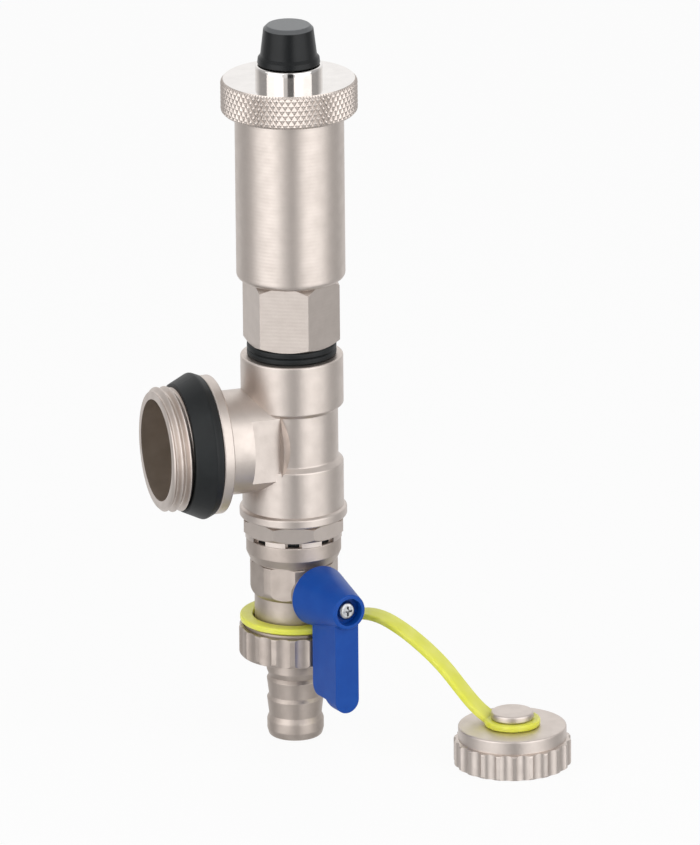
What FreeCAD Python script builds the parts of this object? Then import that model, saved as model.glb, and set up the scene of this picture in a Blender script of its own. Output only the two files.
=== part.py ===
import FreeCAD, Part
import math
import os

# Manifold end piece: a tee with a male side port, a float-type automatic air vent on top,
# and a drain ball valve below with a union nut, a hose tail and a blanking cap on a strap.
# Millimetres, +Z up. The origin is on the port's axis, in the plane where the port's thread
# meets its seal, which is where the manifold's end face comes. The port points along -X.
# Inside this file every piece is built about the tee's vertical axis, with height 0 on the
# port's axis, and is moved to the origin when it is written. Threads are plain cylinders at
# their outer radius.

Vector = FreeCAD.Vector
CENTRE = Vector(0, 0, 0)
AXIS_X = Vector(1, 0, 0)
AXIS_Y = Vector(0, 1, 0)
AXIS_Z = Vector(0, 0, 1)

# Fits
RUN_GAP = 0.05  # radial gap of a piece that turns or slides in another
FACE_GAP = 0.02  # gap between flat faces that part when a piece moves
THREAD_GAP = 0.03  # radial gap between mated threads, drawn as cylinders
LOOSE_GAP = 0.3  # gap between pieces that only pass each other
CUT_OVER = 1.0  # how far a cutter reaches past the face that it cuts
LAP = 0.1  # how far joined forms reach into each other

# Pipe threads: outer radii
PORT_THREAD_R = 16.62
SOCKET_THREAD_R = 10.48
OUTLET_THREAD_R = 13.22

# Side port, as distances from the tee's axis
PORT_REACH = 37.6
PORT_THREAD_LENGTH = 5.7
PORT_THREAD_CHAMFER = 0.7
PORT_BORE_R = 13.5
PORT_BORE_DEPTH = 13.1
PORT_NARROWING = 6.5
PORT_INNER_R = 8.5
SEAL_LENGTH = 7.4
SEAL_NECK_R = 15.2
SEAL_FRONT_R = 17.0
SEAL_CREST_R = 19.5
SEAL_CREST_AT = 2.2
SEAL_BACK_R = 18.6
SEAL_EDGE = 0.5
FLANGE_R = 18.4
FLANGE_T = 3.0
COLLAR_R = 13.8
WRENCH_FLAT_FAR = 14.6
WRENCH_FLAT_NEAR = 6.8
WRENCH_FLAT_WIDTH = 21.5
COLLAR_BEVEL = 2.6
COLLAR_FILLET = 0.8

# Tee
TEE_RISE = 22.85
TEE_DROP = 21.6
TEE_BORE_R = 9.0
TEE_BARREL_R = 12.05
TEE_TOP_COLLAR_R = 13.55
TEE_TOP_COLLAR_H = 14.35
TEE_TOP_COLLAR_CONE_H = 1.0
TEE_SKIRT_R = 13.4
TEE_SKIRT_H = 12.7
TEE_SKIRT_CONE_H = 1.3
TEE_RIM_R = 14.2
TEE_RIM_H = 2.3
SOCKET_DEPTH = 10.0
CAST_EDGE = 0.5

# Vent: outside
BASE_SEAL_H = 3.35
BASE_SEAL_WALL = 1.32
BASE_SEAL_GROOVE = 0.35
BASE_SEAL_EDGE = 0.6
VENT_HEX_H = 17.7
VENT_HEX_AF = 22.4
VENT_HEX_TURN = -77.5  # direction of one corner, from +X
VENT_HEX_LOW_BEVEL = 0.9
VENT_HEX_TOP_BEVEL = 1.8
VENT_SPIGOT_LENGTH = 8.5
VENT_BORE_R = 6.0
CHAMBER_R = 14.35
CHAMBER_WALL = 1.75
CHAMBER_H = 45.6
CHAMBER_FLOOR = 2.2
CHAMBER_EDGE = 1.6
COVER_R = 18.0
COVER_H = 8.95
COVER_TOP_T = 2.0
COVER_THREAD_R = 15.4
COVER_EDGE = 0.6
COVER_LAP = 0.8  # how far the cover reaches down past the body's thread
COVER_GASKET_T = 1.4
BOSS_R = 8.85
BOSS_H = 3.85
BOSS_EDGE = 0.5
NOZZLE_SPIGOT_R = 4.95
NOZZLE_SPIGOT_LENGTH = 5.9
NOZZLE_THREAD_R = 3.9
NOZZLE_THREAD_LENGTH = 7.0
NOZZLE_BORE_R = 0.9
SEAT_H = 0.8
SEAT_R = 1.3
DUST_CAP_H = 10.5
DUST_CAP_GAP = 0.2
DUST_CAP_FOOT_R = 8.3
DUST_CAP_FOOT_H = 1.6
DUST_CAP_FOOT_TAPER = 0.2
DUST_CAP_FOOT_CONE_H = 0.8
DUST_CAP_WAIST_R = 7.45
DUST_CAP_SHOULDER_R = 6.6
DUST_CAP_BEVEL = 1.0
DUST_CAP_EDGE = 0.4
DUST_CAP_SEAL_T = 1.0

# Vent: float and lever. The lever is level when the vent is shut, and tilted at rest.
LEVER_TILT = 18.0
LEVER_T = 1.4
LEVER_W = 4.0
LEVER_PIVOT_X = -6.0
LEVER_END_X = 9.0
EYE_X = 6.5
PIN_R = 0.75
PIN_END = 0.3
PAD_R = 2.2
PAD_T = 1.2
PAD_POCKET = 0.6
PAD_SEAT_WALL = 0.6
KNUCKLE_WALL = 0.8
BRACKET_RING_R = 7.8
BRACKET_RING_T = 2.0
EAR_T = 1.2
EAR_R = 1.6
FLOAT_R = 11.2
FLOAT_LENGTH = 33.0
FLOAT_WALL = 1.2
FLOAT_HEADROOM = 2.7  # from the float's top to the level lever's underside
EYE_WALL = 1.1
EYE_DEPTH = 1.6
EYE_SLACK = 0.9
EYE_SIDE_GAP = 0.15
FLOAT_EDGE = 0.4
FLOAT_ROUND = 1.5

# Drain valve, from the tee down
OCTAGON_H = 4.3
OCTAGON_AF = 26.2
OCTAGON_TURN = -107.9  # direction of the middle of one flat, from +X
OCTAGON_LOW_BEVEL = 1.0
OCTAGON_TOP_BEVEL = 0.6
NOTCHED_SKIRT_R = 12.9
NOTCHED_SKIRT_WALL = 1.3
NOTCH_W = 4.4
INLET_BORE_R = 6.0
INLET_SPIGOT_LENGTH = 8.0
INLET_CORE_R = 10.3
INLET_RING_H = 1.4
VALVE_THREAD_R = 9.45
BODY_COLLAR_R = 12.55
BODY_COLLAR_H = 6.2
BODY_COLLAR_CONE_H = 2.2
BODY_AF = 22.2
BODY_R = 11.6
BODY_H = 10.6
BODY_BOTTOM_ROUND = 3.2
BODY_GROOVE = 0.45
BODY_GROOVE_H = 0.4
NECK_R = 10.5
NECK_H = 6.9
OUTLET_THREAD_H = 4.2
OUTLET_BORE_R = 5.0
OUTLET_CHAMFER = 0.6
THREAD_RUNOUT = 0.5
STEM_DROP = 7.2  # from the collar's lower edge down to the stem's axis
STEM_TURN = 11.7  # the stem points this far from -Y towards +X
BALL_R = 6.5
BALL_BORE_R = 4.0
SEAT_RING_R = 7.9
SEAT_RING_OUT = 6.6  # from the ball's centre to the seat's far face
SEAT_RING_IN = 3.8  # from the ball's centre to the seat's near face
SEAT_RING_BORE_R = 4.3
STEM_R = 3.0
STEM_SHOULDER_R = 3.65
STEM_SHOULDER_AT = 6.6
STEM_SHOULDER_T = 0.9
STEM_WASHER_T = 0.6
STEM_BOSS_R = 6.3
STEM_BOSS_REACH = 12.7
STEM_SQUARE = 4.4
STEM_TONGUE_T = 2.0
STEM_TONGUE_DEPTH = 1.8
STEM_RING_AT = (9.5, 11.2)
STEM_RING_T = 0.72

# Lever handle, with distances along the stem from the valve's axis
HUB_BACK = 13.0
HUB_FRONT = 29.5
HUB_BACK_R = 8.25
HUB_FRONT_R = 4.7
HANDLE_BACK = 15.8
HANDLE_FRONT = 27.9
HANDLE_WIDTH = 7.0
HANDLE_LENGTH = 28.5
HANDLE_BACK_LENGTH = 25.6
HANDLE_TIP_R = 2.8
HANDLE_WALL = 1.8
HANDLE_RIB_T = 1.2
HANDLE_TOE_START = 6.7
HANDLE_TOE_END = 9.0
HUB_EDGE = 0.5
SCREW_RECESS_R = 3.7
SCREW_RECESS_DEPTH = 2.6
SCREW_SEAT_T = 3.0  # hub left between the screw's head and the stem's end
SCREW_HEAD_R = 2.5
SCREW_HEAD_H = 1.7
SCREW_HEAD_ROUND = 1.0
SCREW_SHANK_R = 1.45
SCREW_SHANK_LENGTH = 8.0
CROSS_RECESS_R = 1.35
CROSS_RECESS_W = 0.65
CROSS_RECESS_DEPTH = 0.9

# Union nut, gasket and hose tail
NUT_R = 14.75
NUT_H = 8.2
NUT_LIP_T = 2.0
NUT_FLUTES = 18
NUT_FLUTE_DEPTH = 0.55
FLUTE_SHARE = 0.42  # half a flute's width, as a share of the flutes' pitch
NUT_EDGE = 0.6
NUT_MOUTH_CHAMFER = 0.4
GASKET_T = 1.48
GASKET_BORE_R = 6.0
TAIL_FLANGE_R = 12.6
TAIL_FLANGE_T = 1.65
TAIL_LENGTH = 22.7
TAIL_TUBE_R = 8.0
TAIL_BORE_R = 5.0
BARB_R = 7.5
BARB_ROOT_R = 6.95
BARB_PITCH = 5.4
BARB_BACK = 0.9
BULB_H = 6.0
BULB_NOSE_H = 2.0
BULB_BACK_H = 1.4
BULB_EDGE = 1.0
BULB_ROUND = 1.5
BARB_EDGE = 0.3
TAIL_NECK_H = 1.6
TAIL_STEP_H = 0.5
TAIL_STEP_BELOW_NUT = 0.7

# Blanking cap and its strap. The cap stands open side down, level with the tail's end.
CAP_X = 46.8
CAP_Y = -41.0
CAP_R = 15.5
CAP_SKIRT_H = 6.7
CAP_DISC_R = 14.3
CAP_DISC_H = 3.85
CAP_TOP_T = 2.5
CAP_FLUTES = 22
CAP_FLUTE_DEPTH = 0.7
CAP_GASKET_T = 1.5
CAP_UNDERCUT = 0.4
CAP_EDGE = 0.5
CAP_STEP_H = 0.3
BUTTON_NECK_R = 5.0
BUTTON_HEAD_R = 5.65
BUTTON_HEAD_H = 1.9
BUTTON_EDGE = 0.3
BUTTON_ROUND = 0.6
STRAP_T = 1.7
STRAP_WIDTH = 6.0
STRAP_EDGE = 0.4
STRAP_ROOT_LAP = 1.0  # how far the band's line reaches into its rings
BEND_SHARE = 0.45  # share of a run that one bend may take
NECK_RING_INNER_R = 11.0
NECK_RING_OUTER_R = 14.4
END_RING_OUTER_R = 7.4
STRAP_LIFT = 0.1  # the rings' gap to the shoulders that they lie on
# The strap's middle line between its two rings: distance from the valve's axis, and height
# above the tail's end.
STRAP_ROUTE = (
    (18.0, 34.3),
    (24.5, 34.6),
    (30.8, 32.6),
    (36.6, 28.8),
    (41.8, 24.0),
    (46.2, 18.8),
    (50.2, 14.9),
    (53.6, 12.6),
)

# Levels that follow from the sizes above
TEE_TOP = TEE_RISE
HEX_BOTTOM = TEE_TOP + BASE_SEAL_H
CHAMBER_BOTTOM = HEX_BOTTOM + VENT_HEX_H
COVER_BOTTOM = CHAMBER_BOTTOM + CHAMBER_H
COVER_TOP = COVER_BOTTOM + COVER_H
COVER_UNDERSIDE = COVER_TOP - COVER_TOP_T
CHAMBER_TOP = COVER_UNDERSIDE - COVER_GASKET_T
BOSS_TOP = COVER_TOP + BOSS_H
NOZZLE_TOP = BOSS_TOP + NOZZLE_THREAD_LENGTH
SEAT_LEVEL = COVER_TOP - NOZZLE_SPIGOT_LENGTH - SEAT_H
LEVER_TOP = SEAT_LEVEL - FACE_GAP - (PAD_T - PAD_POCKET)
PIVOT_LEVEL = LEVER_TOP - LEVER_T / 2
FLOAT_STROKE = (EYE_X - LEVER_PIVOT_X) * math.tan(math.radians(LEVER_TILT))

OCTAGON_TOP = -TEE_DROP
OCTAGON_BOTTOM = OCTAGON_TOP - OCTAGON_H
BODY_TOP = OCTAGON_BOTTOM - INLET_RING_H
BODY_WAIST = BODY_TOP - BODY_COLLAR_H
BODY_BOTTOM = BODY_WAIST - BODY_H
NECK_BOTTOM = BODY_BOTTOM - NECK_H
OUTLET_FACE = NECK_BOTTOM - OUTLET_THREAD_H
STEM_LEVEL = BODY_WAIST - STEM_DROP
GASKET_TOP = OUTLET_FACE - FACE_GAP
TAIL_FLANGE_TOP = GASKET_TOP - GASKET_T
NUT_LIP_TOP = TAIL_FLANGE_TOP - TAIL_FLANGE_T - RUN_GAP
NUT_BOTTOM = NUT_LIP_TOP - NUT_LIP_T
TAIL_END = NUT_BOTTOM - TAIL_LENGTH
CAP_DISC_TOP = TAIL_END + CAP_SKIRT_H + CAP_DISC_H

# Radii that follow from what they fit round
BASE_SEAL_R = SOCKET_THREAD_R + BASE_SEAL_WALL
INLET_RING_R = NOTCHED_SKIRT_R - NOTCHED_SKIRT_WALL

# How far the stem reaches out, which the hub's length and its screw settle
STEM_REACH = HUB_FRONT - SCREW_RECESS_DEPTH - SCREW_SEAT_T


def outline(points):
    """A closed wire in the XZ plane through (x, z) points. A third value rounds that corner."""
    corners = [(Vector(p[0], 0, p[1]), p[2] if len(p) > 2 else 0) for p in points]
    ends = []
    for i, (corner, radius) in enumerate(corners):
        before = (corners[i - 1][0] - corner).normalize()
        after = (corners[(i + 1) % len(corners)][0] - corner).normalize()
        half = before.getAngle(after) / 2
        if radius == 0 or half > math.pi / 2 - 1e-6:
            ends.append((corner, None, corner))
            continue
        back = radius / math.tan(half)
        inward = (before + after).normalize()
        middle = corner + inward * (radius / math.sin(half) - radius)
        ends.append((corner + before * back, middle, corner + after * back))
    edges = []
    for i, (start, middle, end) in enumerate(ends):
        if middle is not None:
            edges.append(Part.Arc(start, middle, end).toShape())
        following = ends[(i + 1) % len(ends)][0]
        if (following - end).Length > 1e-6:
            edges.append(Part.LineSegment(end, following).toShape())
    return Part.Wire(edges)


def lathe(points):
    """A solid turned about the vertical axis from (radius, height) points."""
    return Part.Face(outline(points)).revolve(CENTRE, AXIS_Z, 360)


def rod(radius, low, high, x=0, y=0):
    return Part.makeCylinder(radius, high - low, Vector(x, y, low))


def ring(inner, outer, low, high, edge=0):
    """A turned ring, with its outer corners rounded by edge."""
    return lathe([(inner, low), (outer, low, edge), (outer, high, edge), (inner, high)])


def block(x, y, z):
    """A box from (low, high) pairs."""
    size = (x[1] - x[0], y[1] - y[0], z[1] - z[0])
    return Part.makeBox(*size, Vector(x[0], y[0], z[0]))


def prism(sides, across_flats, low, high, flat_at):
    """A regular prism, with the middle of one flat in the direction flat_at, in degrees."""
    corner_r = across_flats / 2 / math.cos(math.pi / sides)
    corners = []
    for i in range(sides + 1):
        angle = math.radians(flat_at + (i % sides + 0.5) * 360 / sides)
        corners.append(Vector(corner_r * math.cos(angle), corner_r * math.sin(angle), low))
    return Part.Face(Part.makePolygon(corners)).extrude(Vector(0, 0, high - low))


def bevelled_prism(sides, across_flats, low, high, flat_at, low_bevel, high_bevel):
    """A prism whose corners are turned off by cones that meet its flats at its two ends."""
    flat_r = across_flats / 2
    depth = flat_r / math.cos(math.pi / sides) - flat_r
    past = 1 + LAP / depth
    envelope = lathe(
        [
            (0, low),
            (flat_r, low),
            (flat_r + depth * past, low + low_bevel * past),
            (flat_r + depth * past, high - high_bevel * past),
            (flat_r, high),
            (0, high),
        ]
    )
    return prism(sides, across_flats, low, high, flat_at).common(envelope)


def fluted(solid, radius, count, depth, low, high):
    """The solid with shallow upright flutes cut round it."""
    half_flute = FLUTE_SHARE * 2 * math.pi * radius / count
    cutter_r = half_flute**2 / (2 * depth) + depth / 2
    cutters = []
    for i in range(count):
        angle = 2 * math.pi * i / count
        away = radius + cutter_r - depth
        cutters.append(rod(cutter_r, low, high, away * math.cos(angle), away * math.sin(angle)))
    return solid.cut(Part.makeCompound(cutters))


def along_port(shape):
    """Turns a shape built up the vertical axis to lie along the port."""
    return shape.rotated(CENTRE, AXIS_Y, -90)


def along_stem(shape):
    """Turns a shape built up the vertical axis to lie along the valve's stem."""
    level = shape.rotated(CENTRE, AXIS_X, 90)
    return level.rotated(CENTRE, AXIS_Z, STEM_TURN).translated(Vector(0, 0, STEM_LEVEL))


def at_cap(shape):
    return shape.translated(Vector(CAP_X, CAP_Y, 0))


# Tee and side port


def port_branch():
    """The port's outside, with its wrench flats, up the vertical axis."""
    thread_start = PORT_REACH - PORT_THREAD_LENGTH
    flange_front = thread_start - SEAL_LENGTH
    flange_back = flange_front - FLANGE_T
    thread_nose_r = PORT_THREAD_R - PORT_THREAD_CHAMFER
    branch = lathe(
        [
            (0, 0),
            (COLLAR_R - COLLAR_BEVEL, 0),
            (COLLAR_R - COLLAR_BEVEL, WRENCH_FLAT_NEAR - COLLAR_BEVEL),
            (COLLAR_R, WRENCH_FLAT_NEAR),
            (COLLAR_R, flange_back, COLLAR_FILLET),
            (FLANGE_R, flange_back, CAST_EDGE),
            (FLANGE_R, flange_front, CAST_EDGE),
            (SEAL_NECK_R, flange_front),
            (SEAL_NECK_R, thread_start),
            (PORT_THREAD_R, thread_start),
            (PORT_THREAD_R, PORT_REACH - PORT_THREAD_CHAMFER),
            (thread_nose_r, PORT_REACH),
            (0, PORT_REACH),
        ]
    )
    flat_span = (WRENCH_FLAT_NEAR, WRENCH_FLAT_FAR)
    half = WRENCH_FLAT_WIDTH / 2
    for side in ((half, COLLAR_R + CUT_OVER), (-COLLAR_R - CUT_OVER, -half)):
        branch = branch.cut(block((-COLLAR_R, COLLAR_R), side, flat_span))
    return branch


def port_bores():
    bore_end = PORT_REACH - PORT_BORE_DEPTH
    return lathe(
        [
            (0, 0),
            (PORT_INNER_R, 0),
            (PORT_INNER_R, bore_end - PORT_NARROWING),
            (PORT_BORE_R, bore_end),
            (PORT_BORE_R, PORT_REACH + CUT_OVER),
            (0, PORT_REACH + CUT_OVER),
        ]
    )


def tee_body():
    skirt_top = -TEE_DROP + TEE_RIM_H + TEE_SKIRT_H
    collar_bottom = TEE_TOP - TEE_TOP_COLLAR_H
    barrel = lathe(
        [
            (0, -TEE_DROP),
            (TEE_RIM_R, -TEE_DROP, CAST_EDGE),
            (TEE_RIM_R, -TEE_DROP + TEE_RIM_H, CAST_EDGE),
            (TEE_SKIRT_R, -TEE_DROP + TEE_RIM_H + CAST_EDGE),
            (TEE_SKIRT_R, skirt_top, CAST_EDGE),
            (TEE_BARREL_R, skirt_top + TEE_SKIRT_CONE_H, CAST_EDGE),
            (TEE_BARREL_R, collar_bottom, CAST_EDGE),
            (TEE_TOP_COLLAR_R, collar_bottom + TEE_TOP_COLLAR_CONE_H, CAST_EDGE),
            (TEE_TOP_COLLAR_R, TEE_TOP, CAST_EDGE),
            (0, TEE_TOP),
        ]
    )
    body = barrel.fuse(along_port(port_branch()))
    low = -TEE_DROP - CUT_OVER
    high = TEE_TOP + CUT_OVER
    waterway = rod(TEE_BORE_R, low, high)
    top_socket = rod(SOCKET_THREAD_R, TEE_TOP - SOCKET_DEPTH, high)
    bottom_socket = rod(SOCKET_THREAD_R, low, -TEE_DROP + SOCKET_DEPTH)
    hollow = waterway.fuse([top_socket, bottom_socket, along_port(port_bores())])
    return body.cut(hollow).removeSplitter()


def port_seal_ring():
    front = PORT_REACH - PORT_THREAD_LENGTH
    back = front - SEAL_LENGTH
    inner = SEAL_NECK_R + THREAD_GAP
    return along_port(
        lathe(
            [
                (inner, back + FACE_GAP),
                (SEAL_BACK_R, back + FACE_GAP, SEAL_EDGE),
                (SEAL_CREST_R, back + SEAL_CREST_AT, 2 * SEAL_EDGE),
                (SEAL_FRONT_R, front, SEAL_EDGE),
                (inner, front),
            ]
        )
    )


# Air vent


def vent_base_seal():
    low = TEE_TOP
    high = HEX_BOTTOM
    middle = (low + high) / 2
    return lathe(
        [
            (SOCKET_THREAD_R, low),
            (BASE_SEAL_R, low, BASE_SEAL_EDGE),
            (BASE_SEAL_R, middle - BASE_SEAL_GROOVE, BASE_SEAL_GROOVE),
            (BASE_SEAL_R - BASE_SEAL_GROOVE, middle),
            (BASE_SEAL_R, middle + BASE_SEAL_GROOVE, BASE_SEAL_GROOVE),
            (BASE_SEAL_R, high, BASE_SEAL_EDGE),
            (SOCKET_THREAD_R, high),
        ]
    )


def vent_body():
    inner_r = CHAMBER_R - CHAMBER_WALL
    thread_start = COVER_BOTTOM + COVER_LAP
    shell = lathe(
        [
            (VENT_BORE_R, CHAMBER_BOTTOM),
            (CHAMBER_R, CHAMBER_BOTTOM, CHAMBER_EDGE),
            (CHAMBER_R, thread_start),
            (COVER_THREAD_R, thread_start + COVER_THREAD_R - CHAMBER_R),
            (COVER_THREAD_R, CHAMBER_TOP),
            (inner_r, CHAMBER_TOP),
            (inner_r, CHAMBER_BOTTOM + CHAMBER_FLOOR, CHAMBER_EDGE),
            (VENT_BORE_R, CHAMBER_BOTTOM + CHAMBER_FLOOR),
        ]
    )
    hexagon = bevelled_prism(
        6,
        VENT_HEX_AF,
        HEX_BOTTOM,
        CHAMBER_BOTTOM,
        VENT_HEX_TURN + 30,
        VENT_HEX_LOW_BEVEL,
        VENT_HEX_TOP_BEVEL,
    )
    spigot_bottom = HEX_BOTTOM - BASE_SEAL_H - VENT_SPIGOT_LENGTH
    spigot = rod(SOCKET_THREAD_R - THREAD_GAP, spigot_bottom, HEX_BOTTOM)
    bore = rod(VENT_BORE_R, spigot_bottom - CUT_OVER, CHAMBER_BOTTOM + CHAMBER_FLOOR)
    solid = hexagon.fuse([shell, spigot])
    return solid.cut(bore).removeSplitter()


def cover_gasket():
    inner = CHAMBER_R - CHAMBER_WALL + LOOSE_GAP
    return ring(inner, COVER_THREAD_R, CHAMBER_TOP, COVER_UNDERSIDE)


def vent_cover():
    skirt_r = COVER_THREAD_R + THREAD_GAP
    return lathe(
        [
            (NOZZLE_SPIGOT_R + THREAD_GAP, COVER_UNDERSIDE),
            (skirt_r, COVER_UNDERSIDE),
            (skirt_r, COVER_BOTTOM),
            (COVER_R, COVER_BOTTOM, COVER_EDGE),
            (COVER_R, COVER_TOP, COVER_EDGE),
            (NOZZLE_SPIGOT_R + THREAD_GAP, COVER_TOP),
        ]
    )


def vent_nozzle():
    spigot_bottom = COVER_TOP - NOZZLE_SPIGOT_LENGTH
    return lathe(
        [
            (NOZZLE_BORE_R, SEAT_LEVEL),
            (SEAT_R, SEAT_LEVEL),
            (SEAT_R + SEAT_H, spigot_bottom),
            (NOZZLE_SPIGOT_R, spigot_bottom),
            (NOZZLE_SPIGOT_R, COVER_TOP),
            (BOSS_R, COVER_TOP),
            (BOSS_R, BOSS_TOP, BOSS_EDGE),
            (NOZZLE_THREAD_R, BOSS_TOP),
            (NOZZLE_THREAD_R, NOZZLE_TOP, BOSS_EDGE),
            (NOZZLE_BORE_R, NOZZLE_TOP),
        ]
    )


def vent_dust_cap():
    """A tapered moulded cap with a flared foot, threaded inside to its seal."""
    low = BOSS_TOP + DUST_CAP_GAP
    high = low + DUST_CAP_H
    pocket_top = NOZZLE_TOP + FACE_GAP + DUST_CAP_SEAL_T
    bore_r = NOZZLE_THREAD_R + RUN_GAP
    return lathe(
        [
            (bore_r, low),
            (DUST_CAP_FOOT_R, low, DUST_CAP_EDGE),
            (DUST_CAP_FOOT_R - DUST_CAP_FOOT_TAPER, low + DUST_CAP_FOOT_H),
            (DUST_CAP_WAIST_R, low + DUST_CAP_FOOT_H + DUST_CAP_FOOT_CONE_H),
            (DUST_CAP_SHOULDER_R, high - DUST_CAP_BEVEL, DUST_CAP_EDGE),
            (DUST_CAP_SHOULDER_R - DUST_CAP_BEVEL, high, DUST_CAP_EDGE),
            (0, high),
            (0, pocket_top),
            (bore_r, pocket_top),
        ]
    )


def dust_cap_seal():
    low = NOZZLE_TOP + FACE_GAP
    return rod(NOZZLE_THREAD_R, low, low + DUST_CAP_SEAL_T - FACE_GAP)


def lever_bracket():
    """A ring pushed over the nozzle's spigot, with two ears that hold the pivot pin."""
    top = COVER_UNDERSIDE
    hoop = ring(NOZZLE_SPIGOT_R + THREAD_GAP, BRACKET_RING_R, top - BRACKET_RING_T, top)
    inside = LEVER_W / 2 + RUN_GAP
    ear_x = (LEVER_PIVOT_X - EAR_R, -NOZZLE_SPIGOT_R - THREAD_GAP)
    ear_z = (PIVOT_LEVEL, top - BRACKET_RING_T / 2)
    ears = []
    for low_y in (inside, -inside - EAR_T):
        ear = block(ear_x, (low_y, low_y + EAR_T), ear_z)
        foot = Part.makeCylinder(EAR_R, EAR_T, Vector(LEVER_PIVOT_X, low_y, PIVOT_LEVEL), AXIS_Y)
        ears.append(ear.fuse(foot))
    return hoop.fuse(ears).cut(pivot(PIN_R, 2 * BRACKET_RING_R)).removeSplitter()


def pivot(radius, length):
    start = Vector(LEVER_PIVOT_X, -length / 2, PIVOT_LEVEL)
    return Part.makeCylinder(radius, length, start, AXIS_Y)


def lever_pin():
    return pivot(PIN_R, LEVER_W + 2 * (EAR_T + RUN_GAP + PIN_END))


def tilted(shape):
    """The float lever's pieces are built level and drop to their rest tilt."""
    return shape.rotated(Vector(LEVER_PIVOT_X, 0, PIVOT_LEVEL), AXIS_Y, LEVER_TILT)


def pad_disc(radius):
    low = LEVER_TOP - PAD_POCKET
    return rod(radius, low, low + PAD_T)


def float_lever():
    half = LEVER_W / 2
    levels = (LEVER_TOP - LEVER_T, LEVER_TOP)
    arm = block((LEVER_PIVOT_X, LEVER_END_X), (-half, half), levels)
    knuckle = Part.makeCylinder(
        PIN_R + KNUCKLE_WALL, LEVER_W, Vector(LEVER_PIVOT_X, -half, PIVOT_LEVEL), AXIS_Y
    )
    pad_seat = rod(PAD_R + PAD_SEAT_WALL, LEVER_TOP - LEVER_T, LEVER_TOP)
    lever = arm.fuse([knuckle, pad_seat])
    lever = lever.cut(pivot(PIN_R + RUN_GAP, 2 * LEVER_W)).cut(pad_disc(PAD_R))
    return tilted(lever.removeSplitter())


def nozzle_pad():
    return tilted(pad_disc(PAD_R))


def float_body():
    """An open-bottomed float, with an eye on top that the lever's end passes through."""
    top = LEVER_TOP - LEVER_T - FLOAT_HEADROOM - FLOAT_STROKE
    bottom = top - FLOAT_LENGTH
    inner = FLOAT_R - FLOAT_WALL
    bell = lathe(
        [
            (inner, bottom),
            (FLOAT_R, bottom, FLOAT_EDGE),
            (FLOAT_R, top, FLOAT_ROUND),
            (0, top),
            (0, top - FLOAT_WALL),
            (inner, top - FLOAT_WALL, FLOAT_EDGE),
        ]
    )
    eye_middle = PIVOT_LEVEL - FLOAT_STROKE
    half_gap = (LEVER_T + EYE_SLACK) / 2
    half_w = LEVER_W / 2 + EYE_SIDE_GAP
    post_x = (EYE_X - EYE_DEPTH / 2, EYE_X + EYE_DEPTH / 2)
    half_post = half_w + EYE_WALL
    post_z = (top - FLOAT_WALL / 2, eye_middle + half_gap + EYE_WALL)
    post = block(post_x, (-half_post, half_post), post_z)
    window_z = (eye_middle - half_gap, eye_middle + half_gap)
    window = block((post_x[0] - CUT_OVER, post_x[1] + CUT_OVER), (-half_w, half_w), window_z)
    return bell.fuse(post).cut(window).removeSplitter()


# Drain valve


def valve_end_piece():
    """The octagon piece: a spigot up into the tee and a nose down into the valve's body."""
    octagon = bevelled_prism(
        8,
        OCTAGON_AF,
        OCTAGON_BOTTOM,
        OCTAGON_TOP,
        OCTAGON_TURN,
        OCTAGON_LOW_BEVEL,
        OCTAGON_TOP_BEVEL,
    )
    # A thin skirt goes down round the sealing ring, with a notch under every flat.
    skirt = ring(INLET_RING_R, NOTCHED_SKIRT_R, BODY_TOP, OCTAGON_BOTTOM + LAP)
    notch_x = (INLET_RING_R - LAP, NOTCHED_SKIRT_R + CUT_OVER)
    notch_y = (-NOTCH_W / 2, NOTCH_W / 2)
    notch = block(notch_x, notch_y, (BODY_TOP - CUT_OVER, OCTAGON_BOTTOM))
    notches = [notch.rotated(CENTRE, AXIS_Z, OCTAGON_TURN + 45 * i) for i in range(8)]
    skirt = skirt.cut(Part.makeCompound(notches))
    nose_bottom = STEM_LEVEL + SEAT_RING_OUT
    spigot_top = OCTAGON_TOP + INLET_SPIGOT_LENGTH
    core = lathe(
        [
            (INLET_BORE_R, nose_bottom),
            (VALVE_THREAD_R, nose_bottom),
            (VALVE_THREAD_R, BODY_TOP),
            (INLET_CORE_R, BODY_TOP),
            (INLET_CORE_R, OCTAGON_TOP),
            (SOCKET_THREAD_R - THREAD_GAP, OCTAGON_TOP),
            (SOCKET_THREAD_R - THREAD_GAP, spigot_top, OUTLET_CHAMFER),
            (INLET_BORE_R, spigot_top),
        ]
    )
    bore = rod(INLET_BORE_R, nose_bottom - CUT_OVER, spigot_top + CUT_OVER)
    return octagon.fuse([core, skirt]).cut(bore).removeSplitter()


def inlet_o_ring():
    return ring(INLET_CORE_R, INLET_RING_R, BODY_TOP, OCTAGON_BOTTOM, INLET_RING_H / 2.5)


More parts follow.
